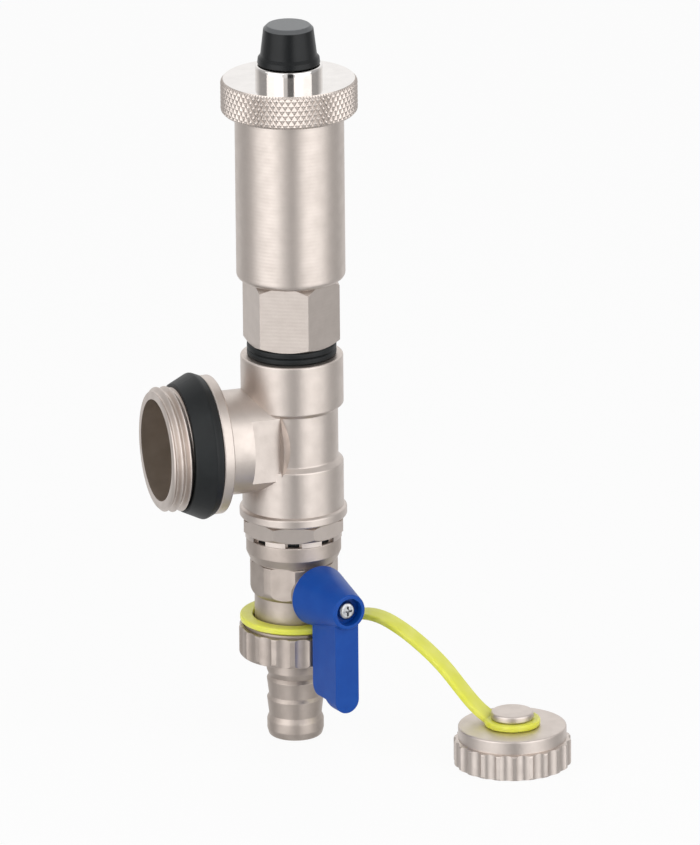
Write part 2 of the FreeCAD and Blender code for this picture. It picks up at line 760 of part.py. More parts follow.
def valve_body():
    thread_r = OUTLET_THREAD_R
    facets_top = BODY_WAIST - BODY_GROOVE_H
    collar = lathe(
        [
            (0, facets_top - LAP),
            (BODY_R - BODY_GROOVE, facets_top - LAP),
            (BODY_R - BODY_GROOVE, BODY_WAIST),
            (BODY_R, BODY_WAIST),
            (BODY_COLLAR_R, BODY_WAIST + BODY_COLLAR_CONE_H, CAST_EDGE),
            (BODY_COLLAR_R, BODY_TOP, CAST_EDGE),
            (0, BODY_TOP),
        ]
    )
    facets = prism(8, BODY_AF, BODY_BOTTOM, facets_top, STEM_TURN - 90)
    envelope = lathe(
        [
            (0, BODY_BOTTOM),
            (BODY_R, BODY_BOTTOM, BODY_BOTTOM_ROUND),
            (BODY_R, facets_top, BODY_GROOVE_H),
            (0, facets_top),
        ]
    )
    outlet = lathe(
        [
            (0, OUTLET_FACE),
            (thread_r - OUTLET_CHAMFER, OUTLET_FACE),
            (thread_r, OUTLET_FACE + OUTLET_CHAMFER),
            (thread_r, NECK_BOTTOM - THREAD_RUNOUT),
            (thread_r - THREAD_RUNOUT, NECK_BOTTOM),
            (NECK_R, NECK_BOTTOM),
            (NECK_R, BODY_BOTTOM + CUT_OVER),
            (0, BODY_BOTTOM + CUT_OVER),
        ]
    )
    boss = along_stem(rod(STEM_BOSS_R, BODY_AF / 4, STEM_BOSS_REACH))
    seat_r = SEAT_RING_R + THREAD_GAP
    chamber = lathe(
        [
            (0, OUTLET_FACE - CUT_OVER),
            (OUTLET_BORE_R, OUTLET_FACE - CUT_OVER),
            (OUTLET_BORE_R, STEM_LEVEL - SEAT_RING_OUT),
            (seat_r, STEM_LEVEL - SEAT_RING_OUT),
            (seat_r, STEM_LEVEL + SEAT_RING_OUT),
            (VALVE_THREAD_R + THREAD_GAP, STEM_LEVEL + SEAT_RING_OUT),
            (VALVE_THREAD_R + THREAD_GAP, BODY_TOP + CUT_OVER),
            (0, BODY_TOP + CUT_OVER),
        ]
    )
    counterbore_end = STEM_SHOULDER_AT + STEM_SHOULDER_T + STEM_WASHER_T + RUN_GAP
    stem_hole = lathe(
        [
            (0, 0),
            (STEM_SHOULDER_R + LOOSE_GAP, 0),
            (STEM_SHOULDER_R + LOOSE_GAP, counterbore_end),
            (STEM_R + RUN_GAP, counterbore_end),
            (STEM_R + RUN_GAP, STEM_BOSS_REACH + CUT_OVER),
            (0, STEM_BOSS_REACH + CUT_OVER),
        ]
    )
    solid = facets.common(envelope).fuse([collar, outlet, boss])
    return solid.cut(chamber.fuse(along_stem(stem_hole))).removeSplitter()


def seat_ring(side):
    """A soft seat below the ball for side -1, or above it for side 1."""
    near = SEAT_RING_IN
    far = SEAT_RING_OUT
    cup_r = BALL_R + RUN_GAP
    blank = lathe(
        [
            (SEAT_RING_BORE_R, near),
            (SEAT_RING_R, near),
            (SEAT_RING_R, far),
            (SEAT_RING_BORE_R, far),
        ]
    )
    seat = blank.cut(Part.makeSphere(cup_r))
    if side < 0:
        seat = seat.rotated(CENTRE, AXIS_X, 180)
    return seat.translated(Vector(0, 0, STEM_LEVEL))


def valve_ball():
    """The ball, built about the stem's axis: its bore is upright and its slot faces out."""
    ball = Part.makeSphere(BALL_R)
    bore = Part.makeCylinder(BALL_BORE_R, 4 * BALL_R, Vector(0, -2 * BALL_R, 0), AXIS_Y)
    half = STEM_TONGUE_T / 2 + RUN_GAP
    floor = BALL_R - STEM_TONGUE_DEPTH - RUN_GAP
    slot = block((-BALL_R, BALL_R), (-half, half), (floor, BALL_R + CUT_OVER))
    return along_stem(ball.cut(bore.fuse(slot)))


def valve_stem():
    shoulder_end = STEM_SHOULDER_AT + STEM_SHOULDER_T
    square_start = STEM_BOSS_REACH + LOOSE_GAP
    groove_r = STEM_R - STEM_RING_T
    half_ring = STEM_RING_T / 2 + RUN_GAP
    outline_points = [
        (0, STEM_SHOULDER_AT),
        (STEM_SHOULDER_R, STEM_SHOULDER_AT),
        (STEM_SHOULDER_R, shoulder_end),
        (STEM_R, shoulder_end),
    ]
    for at in STEM_RING_AT:
        outline_points += [
            (STEM_R, at - half_ring),
            (groove_r, at - half_ring),
            (groove_r, at + half_ring),
            (STEM_R, at + half_ring),
        ]
    outline_points += [(STEM_R, square_start), (0, square_start)]
    shaft = lathe(outline_points)
    half = STEM_SQUARE / 2
    square = block((-half, half), (-half, half), (square_start - LAP, STEM_REACH))
    square = square.common(rod(STEM_R, square_start - LAP, STEM_REACH))
    reach = math.sqrt(BALL_R**2 - (BALL_R - STEM_TONGUE_DEPTH) ** 2) - LOOSE_GAP
    tongue_half = STEM_TONGUE_T / 2
    tongue_span = (BALL_R - STEM_TONGUE_DEPTH, STEM_SHOULDER_AT + LAP)
    tongue = block((-reach, reach), (-tongue_half, tongue_half), tongue_span)
    tongue = tongue.common(rod(STEM_SHOULDER_R, tongue_span[0], tongue_span[1]))
    hole = rod(SCREW_SHANK_R, STEM_REACH - SCREW_SHANK_LENGTH, STEM_REACH + CUT_OVER)
    return along_stem(shaft.fuse([square, tongue]).cut(hole).removeSplitter())


def stem_o_rings():
    tube_r = STEM_RING_T / 2
    rings = []
    for at in STEM_RING_AT:
        middle_r = STEM_R - tube_r
        rings.append(along_stem(Part.makeTorus(middle_r, tube_r, Vector(0, 0, at))))
    return Part.makeCompound(rings)


def stem_washer():
    low = STEM_SHOULDER_AT + STEM_SHOULDER_T
    return along_stem(ring(STEM_R + THREAD_GAP, STEM_SHOULDER_R, low, low + STEM_WASHER_T))


def lever_handle():
    """A tapered hub with a square socket, and a cored lever that hangs from it."""
    hub = lathe(
        [
            (0, HUB_BACK),
            (HUB_BACK_R, HUB_BACK, HUB_EDGE),
            (HUB_FRONT_R, HUB_FRONT, HUB_EDGE),
            (0, HUB_FRONT),
        ]
    )
    slope = (HUB_BACK_R - HUB_FRONT_R) / (HUB_FRONT - HUB_BACK)
    half = HANDLE_WIDTH / 2
    side_view = outline(
        [
            (HANDLE_BACK, 0),
            (HANDLE_BACK, -HANDLE_BACK_LENGTH, HANDLE_TIP_R),
            (HANDLE_BACK + HANDLE_TOE_START, -HANDLE_BACK_LENGTH),
            (HANDLE_BACK + HANDLE_TOE_END, -HANDLE_LENGTH),
            (HANDLE_FRONT, -HANDLE_LENGTH),
            (HANDLE_FRONT, 0),
        ]
    )
    # The side view is drawn as (distance along the stem, height). The turn puts its first
    # direction along the stem, and its second one upright.
    arm = Part.Face(side_view).extrude(Vector(0, HANDLE_WIDTH, 0)).translated(Vector(0, -half, 0))
    arm = arm.rotated(CENTRE, Vector(1, 1, 1), -120)
    tip = rod(half, HANDLE_BACK, HANDLE_FRONT, 0, -HANDLE_LENGTH + half)
    square_part = block((-half, half), (-HANDLE_LENGTH + half, 0), (HANDLE_BACK, HANDLE_FRONT))
    arm = arm.common(square_part.fuse(tip))
    core_front = HANDLE_FRONT - HANDLE_WALL
    core_half = half - HANDLE_WALL
    hub_clear = HUB_BACK_R - slope * (HANDLE_BACK - HUB_BACK)
    core = block(
        (-core_half, core_half),
        (-HANDLE_BACK_LENGTH + HANDLE_WALL, -hub_clear),
        (HANDLE_BACK - CUT_OVER, core_front),
    )
    rib_middle = -(HANDLE_BACK_LENGTH + hub_clear) / 2
    rib_z = (rib_middle - HANDLE_RIB_T / 2, rib_middle + HANDLE_RIB_T / 2)
    rib = block((-core_half, core_half), rib_z, (HANDLE_BACK + HANDLE_RIB_T, core_front))
    socket_half = STEM_SQUARE / 2 + THREAD_GAP
    socket_span = (HUB_BACK - CUT_OVER, STEM_REACH + FACE_GAP)
    socket = block((-socket_half, socket_half), (-socket_half, socket_half), socket_span)
    seat = HUB_FRONT - SCREW_RECESS_DEPTH
    recess = rod(SCREW_RECESS_R, seat, HUB_FRONT + CUT_OVER)
    hole = rod(SCREW_SHANK_R + THREAD_GAP, STEM_REACH, seat + CUT_OVER)
    solid = hub.fuse(arm).cut(core.cut(rib))
    return along_stem(solid.cut(socket.fuse([recess, hole])).removeSplitter())


def handle_screw():
    """A pan screw with a cross recess, through the hub into the stem's end."""
    seat = HUB_FRONT - SCREW_RECESS_DEPTH
    top = seat + SCREW_HEAD_H
    head = lathe(
        [
            (0, seat),
            (SCREW_HEAD_R, seat),
            (SCREW_HEAD_R, top, SCREW_HEAD_ROUND),
            (0, top),
        ]
    )
    shank = rod(SCREW_SHANK_R, STEM_REACH - SCREW_SHANK_LENGTH + LOOSE_GAP, seat + LAP)
    reach = (-CROSS_RECESS_R, CROSS_RECESS_R)
    width = (-CROSS_RECESS_W / 2, CROSS_RECESS_W / 2)
    depth = (top - CROSS_RECESS_DEPTH, top + CUT_OVER)
    cross = block(reach, width, depth).fuse(block(width, reach, depth))
    return along_stem(head.fuse(shank).cut(cross).removeSplitter())


# Union nut and hose tail


def union_nut():
    top = NUT_BOTTOM + NUT_H
    bore_r = OUTLET_THREAD_R + RUN_GAP
    nut = lathe(
        [
            (TAIL_TUBE_R + RUN_GAP, NUT_BOTTOM),
            (NUT_R, NUT_BOTTOM, 2 * NUT_EDGE),
            (NUT_R, top, NUT_EDGE),
            (bore_r + NUT_MOUTH_CHAMFER, top),
            (bore_r, top - NUT_MOUTH_CHAMFER),
            (bore_r, NUT_LIP_TOP),
            (TAIL_TUBE_R + RUN_GAP, NUT_LIP_TOP),
        ]
    )
    return fluted(nut, NUT_R, NUT_FLUTES, NUT_FLUTE_DEPTH, NUT_BOTTOM, top)


def tail_gasket():
    return ring(GASKET_BORE_R, TAIL_FLANGE_R, TAIL_FLANGE_TOP, GASKET_TOP)


def hose_tail():
    flange_bottom = TAIL_FLANGE_TOP - TAIL_FLANGE_T
    root = TAIL_END + BULB_H
    points = [
        (TAIL_BORE_R, TAIL_END),
        (BARB_ROOT_R, TAIL_END, BULB_EDGE),
        (BARB_R, TAIL_END + BULB_NOSE_H, BULB_ROUND),
        (BARB_R, root - BULB_BACK_H, BULB_EDGE),
        (BARB_ROOT_R, root),
    ]
    for step in range(2):
        crest = root + (step + 1) * BARB_PITCH - BARB_BACK
        points += [
            (BARB_R, crest, BARB_EDGE),
            (BARB_ROOT_R, crest + BARB_BACK),
        ]
    points += [
        (BARB_R, root + 2 * BARB_PITCH + TAIL_NECK_H),
        (BARB_R, NUT_BOTTOM - TAIL_STEP_BELOW_NUT - TAIL_STEP_H),
        (TAIL_TUBE_R, NUT_BOTTOM - TAIL_STEP_BELOW_NUT),
        (TAIL_TUBE_R, flange_bottom),
        (TAIL_FLANGE_R, flange_bottom),
        (TAIL_FLANGE_R, TAIL_FLANGE_TOP),
        (TAIL_BORE_R, TAIL_FLANGE_TOP),
    ]
    return lathe(points)


# Blanking cap and strap


def blanking_cap():
    skirt_top = TAIL_END + CAP_SKIRT_H
    bore_r = OUTLET_THREAD_R + RUN_GAP
    thread_top = CAP_DISC_TOP - CAP_TOP_T - CAP_GASKET_T
    neck_top = CAP_DISC_TOP + STRAP_LIFT + STRAP_T + STRAP_LIFT
    head_top = neck_top + BUTTON_HEAD_H
    solid = lathe(
        [
            (bore_r, TAIL_END),
            (CAP_R, TAIL_END, CAP_EDGE),
            (CAP_R, skirt_top, CAP_EDGE),
            (CAP_DISC_R, skirt_top + CAP_STEP_H),
            (CAP_DISC_R, CAP_DISC_TOP, CAP_EDGE),
            (BUTTON_NECK_R, CAP_DISC_TOP),
            (BUTTON_NECK_R, neck_top),
            (BUTTON_HEAD_R, neck_top, BUTTON_EDGE),
            (BUTTON_HEAD_R, head_top, BUTTON_ROUND),
            (0, head_top),
            (0, CAP_DISC_TOP - CAP_TOP_T),
            (bore_r + CAP_UNDERCUT, CAP_DISC_TOP - CAP_TOP_T),
            (bore_r + CAP_UNDERCUT, thread_top),
            (bore_r, thread_top),
        ]
    )
    # The flutes run a little way up past the skirt, and scallop the disc's edge.
    return at_cap(fluted(solid, CAP_R, CAP_FLUTES, CAP_FLUTE_DEPTH, TAIL_END, CAP_DISC_TOP))


def cap_gasket():
    top = CAP_DISC_TOP - CAP_TOP_T
    return at_cap(rod(OUTLET_THREAD_R + CAP_UNDERCUT, top - CAP_GASKET_T, top))


def strap_points():
    """The strap's middle line from ring to ring, as (distance from the axis, height)."""
    cap_distance = math.hypot(CAP_X, CAP_Y)
    ring_middle = NECK_BOTTOM + STRAP_LIFT + STRAP_T / 2
    end_middle = CAP_DISC_TOP + STRAP_LIFT + STRAP_T / 2
    start = (NECK_RING_INNER_R + STRAP_ROOT_LAP, ring_middle)
    finish = (cap_distance - END_RING_OUTER_R + STRAP_ROOT_LAP, end_middle)
    route = [(distance, TAIL_END + height) for distance, height in STRAP_ROUTE]
    return [start] + route + [finish]


def bend_radii(points):
    """The largest radius that each turn of the strap's line allows, and its turn."""
    radii = []
    for before, here, after in zip(points, points[1:], points[2:]):
        run_in = Vector(here[0] - before[0], here[1] - before[1], 0)
        run_out = Vector(after[0] - here[0], after[1] - here[1], 0)
        turn = run_in.getAngle(run_out)
        side = 1 if run_in.cross(run_out).z > 0 else -1
        shorter = min(run_in.Length, run_out.Length)
        radii.append((BEND_SHARE * shorter / math.tan(turn / 2), side))
    return radii


def offset_line(points, radii, away):
    """The line moved sideways by away, with its bends' radii to match."""
    moved = []
    for i, here in enumerate(points):
        sides = []
        for a, b in ((i - 1, i), (i, i + 1)):
            if a < 0 or b >= len(points):
                continue
            run = Vector(points[b][0] - points[a][0], points[b][1] - points[a][1], 0)
            sides.append(Vector(-run.y, run.x, 0).normalize())
        normal = sides[0] if len(sides) == 1 else (sides[0] + sides[1]).normalize()
        stretch = away / normal.dot(sides[0])
        place = (here[0] + normal.x * stretch, here[1] + normal.y * stretch)
        if 0 < i < len(points) - 1:
            radius, side = radii[i - 1]
            place += (radius - side * away,)
        moved.append(place)
    return moved


def cap_strap():
    """The strap: a ring for the valve's neck, a band, and a ring for the cap's button."""
    points = strap_points()
    radii = bend_radii(points)
    upper = offset_line(points, radii, STRAP_T / 2)
    lower = offset_line(points, radii, -STRAP_T / 2)
    side_view = Part.Face(outline(upper + lower[::-1]))
    band = side_view.extrude(Vector(0, STRAP_WIDTH, 0)).translated(Vector(0, -STRAP_WIDTH / 2, 0))
    run = sum(math.dist(a, b) for a, b in zip(points, points[1:]))
    share = band.Volume / (STRAP_T * STRAP_WIDTH * run)
    print(f"strap band: {run:.1f} mm along its points, volume {share:.3f} of section times length")
    print("strap bend radii:", ", ".join(f"{radius:.1f}" for radius, side in radii))
    cap_distance = math.hypot(CAP_X, CAP_Y)
    low = NECK_BOTTOM + STRAP_LIFT
    neck_ring = ring(NECK_RING_INNER_R, NECK_RING_OUTER_R, low, low + STRAP_T, STRAP_EDGE)
    low = CAP_DISC_TOP + STRAP_LIFT
    end_ring = ring(BUTTON_NECK_R + RUN_GAP, END_RING_OUTER_R, low, low + STRAP_T, STRAP_EDGE)
    end_ring = end_ring.translated(Vector(cap_distance, 0, 0))
    neck_hole = rod(NECK_RING_INNER_R, NECK_BOTTOM, BODY_BOTTOM)
    end_hole = rod(BUTTON_NECK_R + RUN_GAP, TAIL_END, NECK_BOTTOM, cap_distance)
    strap = neck_ring.fuse([band, end_ring]).cut(neck_hole.fuse(end_hole))
    bearing = math.degrees(math.atan2(CAP_Y, CAP_X))
    return strap.removeSplitter().rotated(CENTRE, AXIS_Z, bearing)


PIECES = {
    "tee_body": tee_body,
    "port_seal_ring": port_seal_ring,
    "vent_base_seal": vent_base_seal,
    "vent_body": vent_body,
    "cover_gasket": cover_gasket,
    "vent_cover": vent_cover,
    "vent_nozzle": vent_nozzle,
    "vent_dust_cap": vent_dust_cap,
    "dust_cap_seal": dust_cap_seal,
    "lever_bracket": lever_bracket,
    "lever_pin": lever_pin,
    "float_lever": float_lever,
    "nozzle_pad": nozzle_pad,
    "vent_float": float_body,
    "valve_end_piece": valve_end_piece,
    "inlet_o_ring": inlet_o_ring,
    "valve_body": valve_body,
    "seat_ring_upper": lambda: seat_ring(1),
    "seat_ring_lower": lambda: seat_ring(-1),
    "valve_ball": valve_ball,
    "valve_stem": valve_stem,
    "stem_o_rings": stem_o_rings,
    "stem_washer": stem_washer,
    "lever_handle": lever_handle,
    "handle_screw": handle_screw,
    "union_nut": union_nut,
    "tail_gasket": tail_gasket,
    "hose_tail": hose_tail,
    "blanking_cap": blanking_cap,
    "cap_gasket": cap_gasket,
    "cap_strap": cap_strap,
}

os.makedirs("parts", exist_ok=True)
to_origin = Vector(PORT_REACH - PORT_THREAD_LENGTH, 0, 0)
for name, make in PIECES.items():
    shape = make().translated(to_origin)
    print(f"{name}: {len(shape.Solids)} solid, {shape.Volume:.1f} mm3, valid {shape.isValid()}")
    shape.exportStep(f"parts/{name}.step")
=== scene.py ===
# %% [markdown]
# # A manifold end piece with an air vent and a drain valve
# The object is a piece of heating plumbing: nickel-plated brass, black rubber, a blue plastic
# lever and a yellow-green plastic strap. Nearly every shape comes from the engineering model,
# which is loaded first and never changed. This lesson gives each piece its finish, and makes the
# few forms that an engineering model leaves plain: a thread, a knurl and a moulded strap.

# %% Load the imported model
import math

import bpy
from mathutils import Matrix, Vector


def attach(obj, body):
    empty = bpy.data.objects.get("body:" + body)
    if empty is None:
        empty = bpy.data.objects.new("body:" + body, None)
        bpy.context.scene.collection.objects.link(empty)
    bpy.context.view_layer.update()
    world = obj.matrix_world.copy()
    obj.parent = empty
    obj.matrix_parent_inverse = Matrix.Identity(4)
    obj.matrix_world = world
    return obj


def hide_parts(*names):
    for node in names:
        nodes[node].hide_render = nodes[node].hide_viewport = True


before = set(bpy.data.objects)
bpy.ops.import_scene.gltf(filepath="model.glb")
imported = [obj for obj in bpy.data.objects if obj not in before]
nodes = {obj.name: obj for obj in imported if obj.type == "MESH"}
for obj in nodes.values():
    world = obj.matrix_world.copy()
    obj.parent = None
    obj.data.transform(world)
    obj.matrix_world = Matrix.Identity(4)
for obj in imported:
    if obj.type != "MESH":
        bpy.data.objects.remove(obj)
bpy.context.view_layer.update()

MM = 0.001

# %% [markdown]
# ## The camera
# A product like this is photographed from far off with a long lens, which leaves hardly any
# perspective. A near camera would show the cap on its strap too large. So the camera stands four
# metres off, in front and a little to the left, and looks down by eighteen degrees. It aims
# beside the tee, so that the cap fits into the frame too.

# %% Place the camera
AIM = Vector((45.55, -7.03, 4.2)) * MM
CAMERA_AZIMUTH = -17.9
CAMERA_ELEVATION = 18.3
CAMERA_DISTANCE = 4.0
CAMERA_ROLL = math.radians(-0.53)
FOCAL_LENGTH = 647.7


def direction(azimuth, elevation):
    """The direction from the object to a place, from its azimuth and elevation in degrees."""
    turn, rise = math.radians(azimuth), math.radians(elevation)
    return Vector(
        (math.sin(turn) * math.cos(rise), -math.cos(turn) * math.cos(rise), math.sin(rise))
    )


toward_camera = direction(CAMERA_AZIMUTH, CAMERA_ELEVATION)
lens = bpy.data.cameras.new("product_lens")
lens.lens = FOCAL_LENGTH
lens.sensor_width = 36.0
lens.clip_start = 0.05
lens.clip_end = 50.0
camera = bpy.data.objects.new("product_camera", lens)
bpy.context.scene.collection.objects.link(camera)
camera.location = AIM + toward_camera * CAMERA_DISTANCE
facing = (-toward_camera).to_track_quat("-Z", "Y").to_matrix().to_4x4()
camera.rotation_euler = (facing @ Matrix.Rotation(CAMERA_ROLL, 4, "Z")).to_euler()
bpy.context.scene.camera = camera
print("camera at", tuple(round(v, 3) for v in camera.location))

# %% [markdown]
# ## The strap's line
# The strap is a moulded plastic tether that holds the cap beside the valve. It is stiff enough to
# keep a bend of its own: it leaves its ring round the valve's neck nearly level, arches a little,
# and comes down to the ring that the cap's button is snapped into. It could be drawn as arcs and
# straight runs, but those meet in visible kinks. One NURBS curve bends smoothly all the way.

# %% Draw the strap's line
TEE_X = 31.9
TAIL_END = -83.1
CAP_PLACE = Vector((46.8, -41.0, 0))
BEARING = CAP_PLACE.normalized()  # level, from the valve's axis to the cap
ACROSS = Vector((-BEARING.y, BEARING.x, 0))  # level, across the strap
CURVE_STEPS = 10  # points of the line between two control points
STRAP_ROUTE = (  # mm from the valve's axis, and mm above the table
    (12.0, 33.05),
    (17.6, 36.0),
    (24.3, 36.2),
    (30.8, 33.3),
    (37.1, 29.1),
    (42.7, 24.4),
    (47.2, 19.3),
    (50.9, 15.2),
    (53.9, 12.7),
    (56.0, 11.5),
)


def strap_place(distance, height):
    """A point of the strap's middle line, from its distance from the valve's axis."""
    return (Vector((TEE_X, 0, TAIL_END + height)) + BEARING * distance) * MM


def nurbs_line(name, points, steps):
    """The points of a smooth NURBS line through the control points given."""
    curve = bpy.data.curves.new(name, "CURVE")
    curve.dimensions = "3D"
    curve.resolution_u = steps
    spline = curve.splines.new("NURBS")
    spline.points.add(len(points) - 1)
    for control, place in zip(spline.points, points):
        control.co = (*place, 1)
    spline.order_u = 3
    spline.use_endpoint_u = True
    line = bpy.data.objects.new(name, curve)
    bpy.context.scene.collection.objects.link(line)
    drawn = bpy.data.meshes.new_from_object(line)
    places = [v.co.copy() for v in drawn.vertices]
    bpy.data.objects.remove(line)
    return places


strap_line = nurbs_line("strap_route", [strap_place(*p) for p in STRAP_ROUTE], CURVE_STEPS)

# %% [markdown]
# ## Two helpers for nodes
# Colours are written as sRGB hex values, the way that a paint programme shows them. Blender's
# sockets want linear light, so one function turns them over. The other adds a node with its
# settings and links. Without it, each node would take four or five lines.

# %% Helpers for nodes


def linear(hex_colour):
    """An sRGB hex colour as linear RGBA."""
    channels = [int(hex_colour[i : i + 2], 16) / 255 for i in (0, 2, 4)]
    return [c / 12.92 if c <= 0.04045 else ((c + 0.055) / 1.055) ** 2.4 for c in channels] + [1.0]


def add(owner, kind, inputs=None, stops=None, **settings):
    """Adds a node to a material or to the world.

    Each input is a value, or another node's socket to link from. The stops are the two
    (position, hex colour) ends of a colour ramp.
    """
    tree = owner.node_tree
    made = tree.nodes.new(kind)
    for setting, value in settings.items():
        setattr(made, setting, value)
    for socket, value in (inputs or {}).items():
        if isinstance(value, bpy.types.NodeSocket):
            tree.links.new(value, made.inputs[socket])
        else:
            made.inputs[socket].default_value = value
    if stops:
        for element, (position, colour) in zip(made.color_ramp.elements, stops):
            element.position = position
            element.color = linear(colour)
    return made


# %% [markdown]
# ## The studio
# The object stands on a white table in front of a white backdrop. Metal shows its surroundings,
# so the room decides how the metal looks. A picture of a real studio could light it, but a few
# walls made with nodes are easier to match to a photograph. Here the walls have three greys: the
# backdrop and the wall behind the camera are light, and the side walls are darker.

# %% The walls that metal sees
BACKDROP_FOR_METAL = 0.92
SIDE_WALLS = 0.50
FRONT_WALL = 0.90
AWAY_FROM_CAMERA = (0.307, 0.952, 0.0)  # level, from the object to the backdrop
BACKDROP_FADE = (0.4, 0.8)  # cosines from that direction, from side wall to backdrop
FRONT_FADE = (-0.55, -0.8)  # the same, from side wall to the wall behind the camera
world = bpy.data.worlds.new("studio")
bpy.context.scene.world = world
world.use_nodes = True
world.node_tree.nodes.clear()
ray = add(world, "ShaderNodeTexCoord").outputs["Generated"]
level_ray = add(
    world, "ShaderNodeVectorMath", {0: ray, 1: (1.0, 1.0, 0.0)}, operation="MULTIPLY"
)
heading = add(
    world, "ShaderNodeVectorMath", {0: level_ray.outputs["Vector"]}, operation="NORMALIZE"
)
backward = add(
    world,
    "ShaderNodeVectorMath",
    {0: heading.outputs["Vector"], 1: AWAY_FROM_CAMERA},
    operation="DOT_PRODUCT",
)
backdrop = add(
    world,
    "ShaderNodeMapRange",
    {
        "Value": backward.outputs["Value"],
        "From Min": BACKDROP_FADE[0],
        "From Max": BACKDROP_FADE[1],
        "To Min": SIDE_WALLS,
        "To Max": BACKDROP_FOR_METAL,
    },
    interpolation_type="SMOOTHSTEP",
)
front_extra = add(
    world,
    "ShaderNodeMapRange",
    {
        "Value": backward.outputs["Value"],
        "From Min": FRONT_FADE[0],
        "From Max": FRONT_FADE[1],
        "To Min": 0.0,
        "To Max": FRONT_WALL - SIDE_WALLS,
    },
    interpolation_type="SMOOTHSTEP",
)
walls = add(
    world,
    "ShaderNodeMath",
    {0: backdrop.outputs["Result"], 1: front_extra.outputs["Result"]},
    operation="ADD",
)
print("walls: back", BACKDROP_FOR_METAL, "sides", SIDE_WALLS, "front", FRONT_WALL)

# %% [markdown]
# A photographer and a camera stand in front of the object, and polished metal shows them as a
# dark stripe. A black card would draw it too, but it would stand in the way of the lamps. Here
# the world itself is dark in a narrow corner beside the camera. Above level, the corner keeps
# only a part of its darkness, because flat tops that are seen from behind would turn black.

# %% The dark corner beside the camera
CAMERA_CORNER = 0.03
BESIDE_CAMERA = (-0.206, -0.978, 0.0)  # level, six degrees to the right of the camera
CORNER_FADE = (0.975, 0.99)  # cosines from that direction, from wall to corner
LEVEL_FADE = (0.02, -0.12)  # the ray's rise, from just above level to below it
CORNER_ABOVE_LEVEL = 0.78
beside = add(
    world,
    "ShaderNodeVectorMath",
    {0: heading.outputs["Vector"], 1: BESIDE_CAMERA},
    operation="DOT_PRODUCT",
)
in_corner = add(
    world,
    "ShaderNodeMapRange",
    {
        "Value": beside.outputs["Value"],
        "From Min": CORNER_FADE[0],
        "From Max": CORNER_FADE[1],
    },
    interpolation_type="SMOOTHSTEP",
)
ray_parts = add(world, "ShaderNodeSeparateXYZ", {"Vector": ray})
below_level = add(
    world,
    "ShaderNodeMapRange",
    {
        "Value": ray_parts.outputs["Z"],
        "From Min": LEVEL_FADE[0],
        "From Max": LEVEL_FADE[1],
        "To Min": CORNER_ABOVE_LEVEL,
    },
    interpolation_type="SMOOTHSTEP",
)
corner_share = add(
    world,
    "ShaderNodeMath",
    {0: in_corner.outputs["Result"], 1: below_level.outputs["Result"]},
    operation="MULTIPLY",
)
metal_room = add(
    world,
    "ShaderNodeMix",
    {"Factor": corner_share.outputs[0], "A": walls.outputs[0], "B": CAMERA_CORNER},
)
print("corner:", CAMERA_CORNER, "and above level", CORNER_ABOVE_LEVEL, "of its darkness")

# %% [markdown]
# The camera sees pure white behind the object. If that white also lit it, every piece would be
# flat and pale. The kind of ray decides: camera rays see white, mirror rays see the walls, and
# all other light comes from a soft grey room.

# %% What each kind of ray sees
CAMERA_WHITE = 1.0
ROOM_GREY = 0.42
path = add(world, "ShaderNodeLightPath")
glossy_or_through = add(
    world,
    "ShaderNodeMath",
    {0: path.outputs["Is Glossy Ray"], 1: path.outputs["Is Transmission Ray"]},
    operation="MAXIMUM",
)
room = add(
    world,
    "ShaderNodeMix",
    {"Factor": glossy_or_through.outputs[0], "A": ROOM_GREY, "B": metal_room.outputs["Result"]},
)
brightness = add(
    world,
    "ShaderNodeMix",
    {"Factor": path.outputs["Is Camera Ray"], "A": room.outputs["Result"], "B": CAMERA_WHITE},
)
sky = add(
    world,
    "ShaderNodeBackground",
    {"Color": linear("FFFFFF"), "Strength": brightness.outputs["Result"]},
)
world_out = add(world, "ShaderNodeOutputWorld")
world.node_tree.links.new(sky.outputs["Background"], world_out.inputs["Surface"])
print("world nodes:", len(world.node_tree.nodes))

# %% [markdown]
# ## The table
# In the photograph the table is nearly as white as the backdrop, with only a trace of shadow
# under the cap. A white surface in this light would come out grey. So it glows for the rays that
# look at it, and a small share of plain laminate is left to carry the shadow.

# %% Helpers for materials


def new_material(name, colour, roughness, **shader_values):
    """A material with a plain Principled shader, ready for its detail. Returns both."""
    material = bpy.data.materials.new(name)
    material.use_nodes = True
    shader = material.node_tree.nodes["Principled BSDF"]
    shader.inputs["Base Color"].default_value = linear(colour)
    shader.inputs["Roughness"].default_value = roughness
    for socket, value in shader_values.items():
        shader.inputs[socket.replace("_", " ")].default_value = value
    return material, shader


def link(material, socket_from, socket_to):
    """Links two sockets of a material."""
    material.node_tree.links.new(socket_from, socket_to)


# %% Lay the table
TABLE_HALF = 4.0  # metres
TABLE_GAP = 0.0001  # metres under the hose tail
TABLE_WHITE_SHARE = 0.92
table_z = TAIL_END * MM - TABLE_GAP
table_corners = [
    (x * TABLE_HALF, y * TABLE_HALF, table_z) for x, y in ((-1, -1), (1, -1), (1, 1), (-1, 1))
]
table_mesh = bpy.data.meshes.new("white_table")
table_mesh.from_pydata(table_corners, [], [(0, 1, 2, 3)])
table = bpy.data.objects.new("white_table", table_mesh)
bpy.context.scene.collection.objects.link(table)

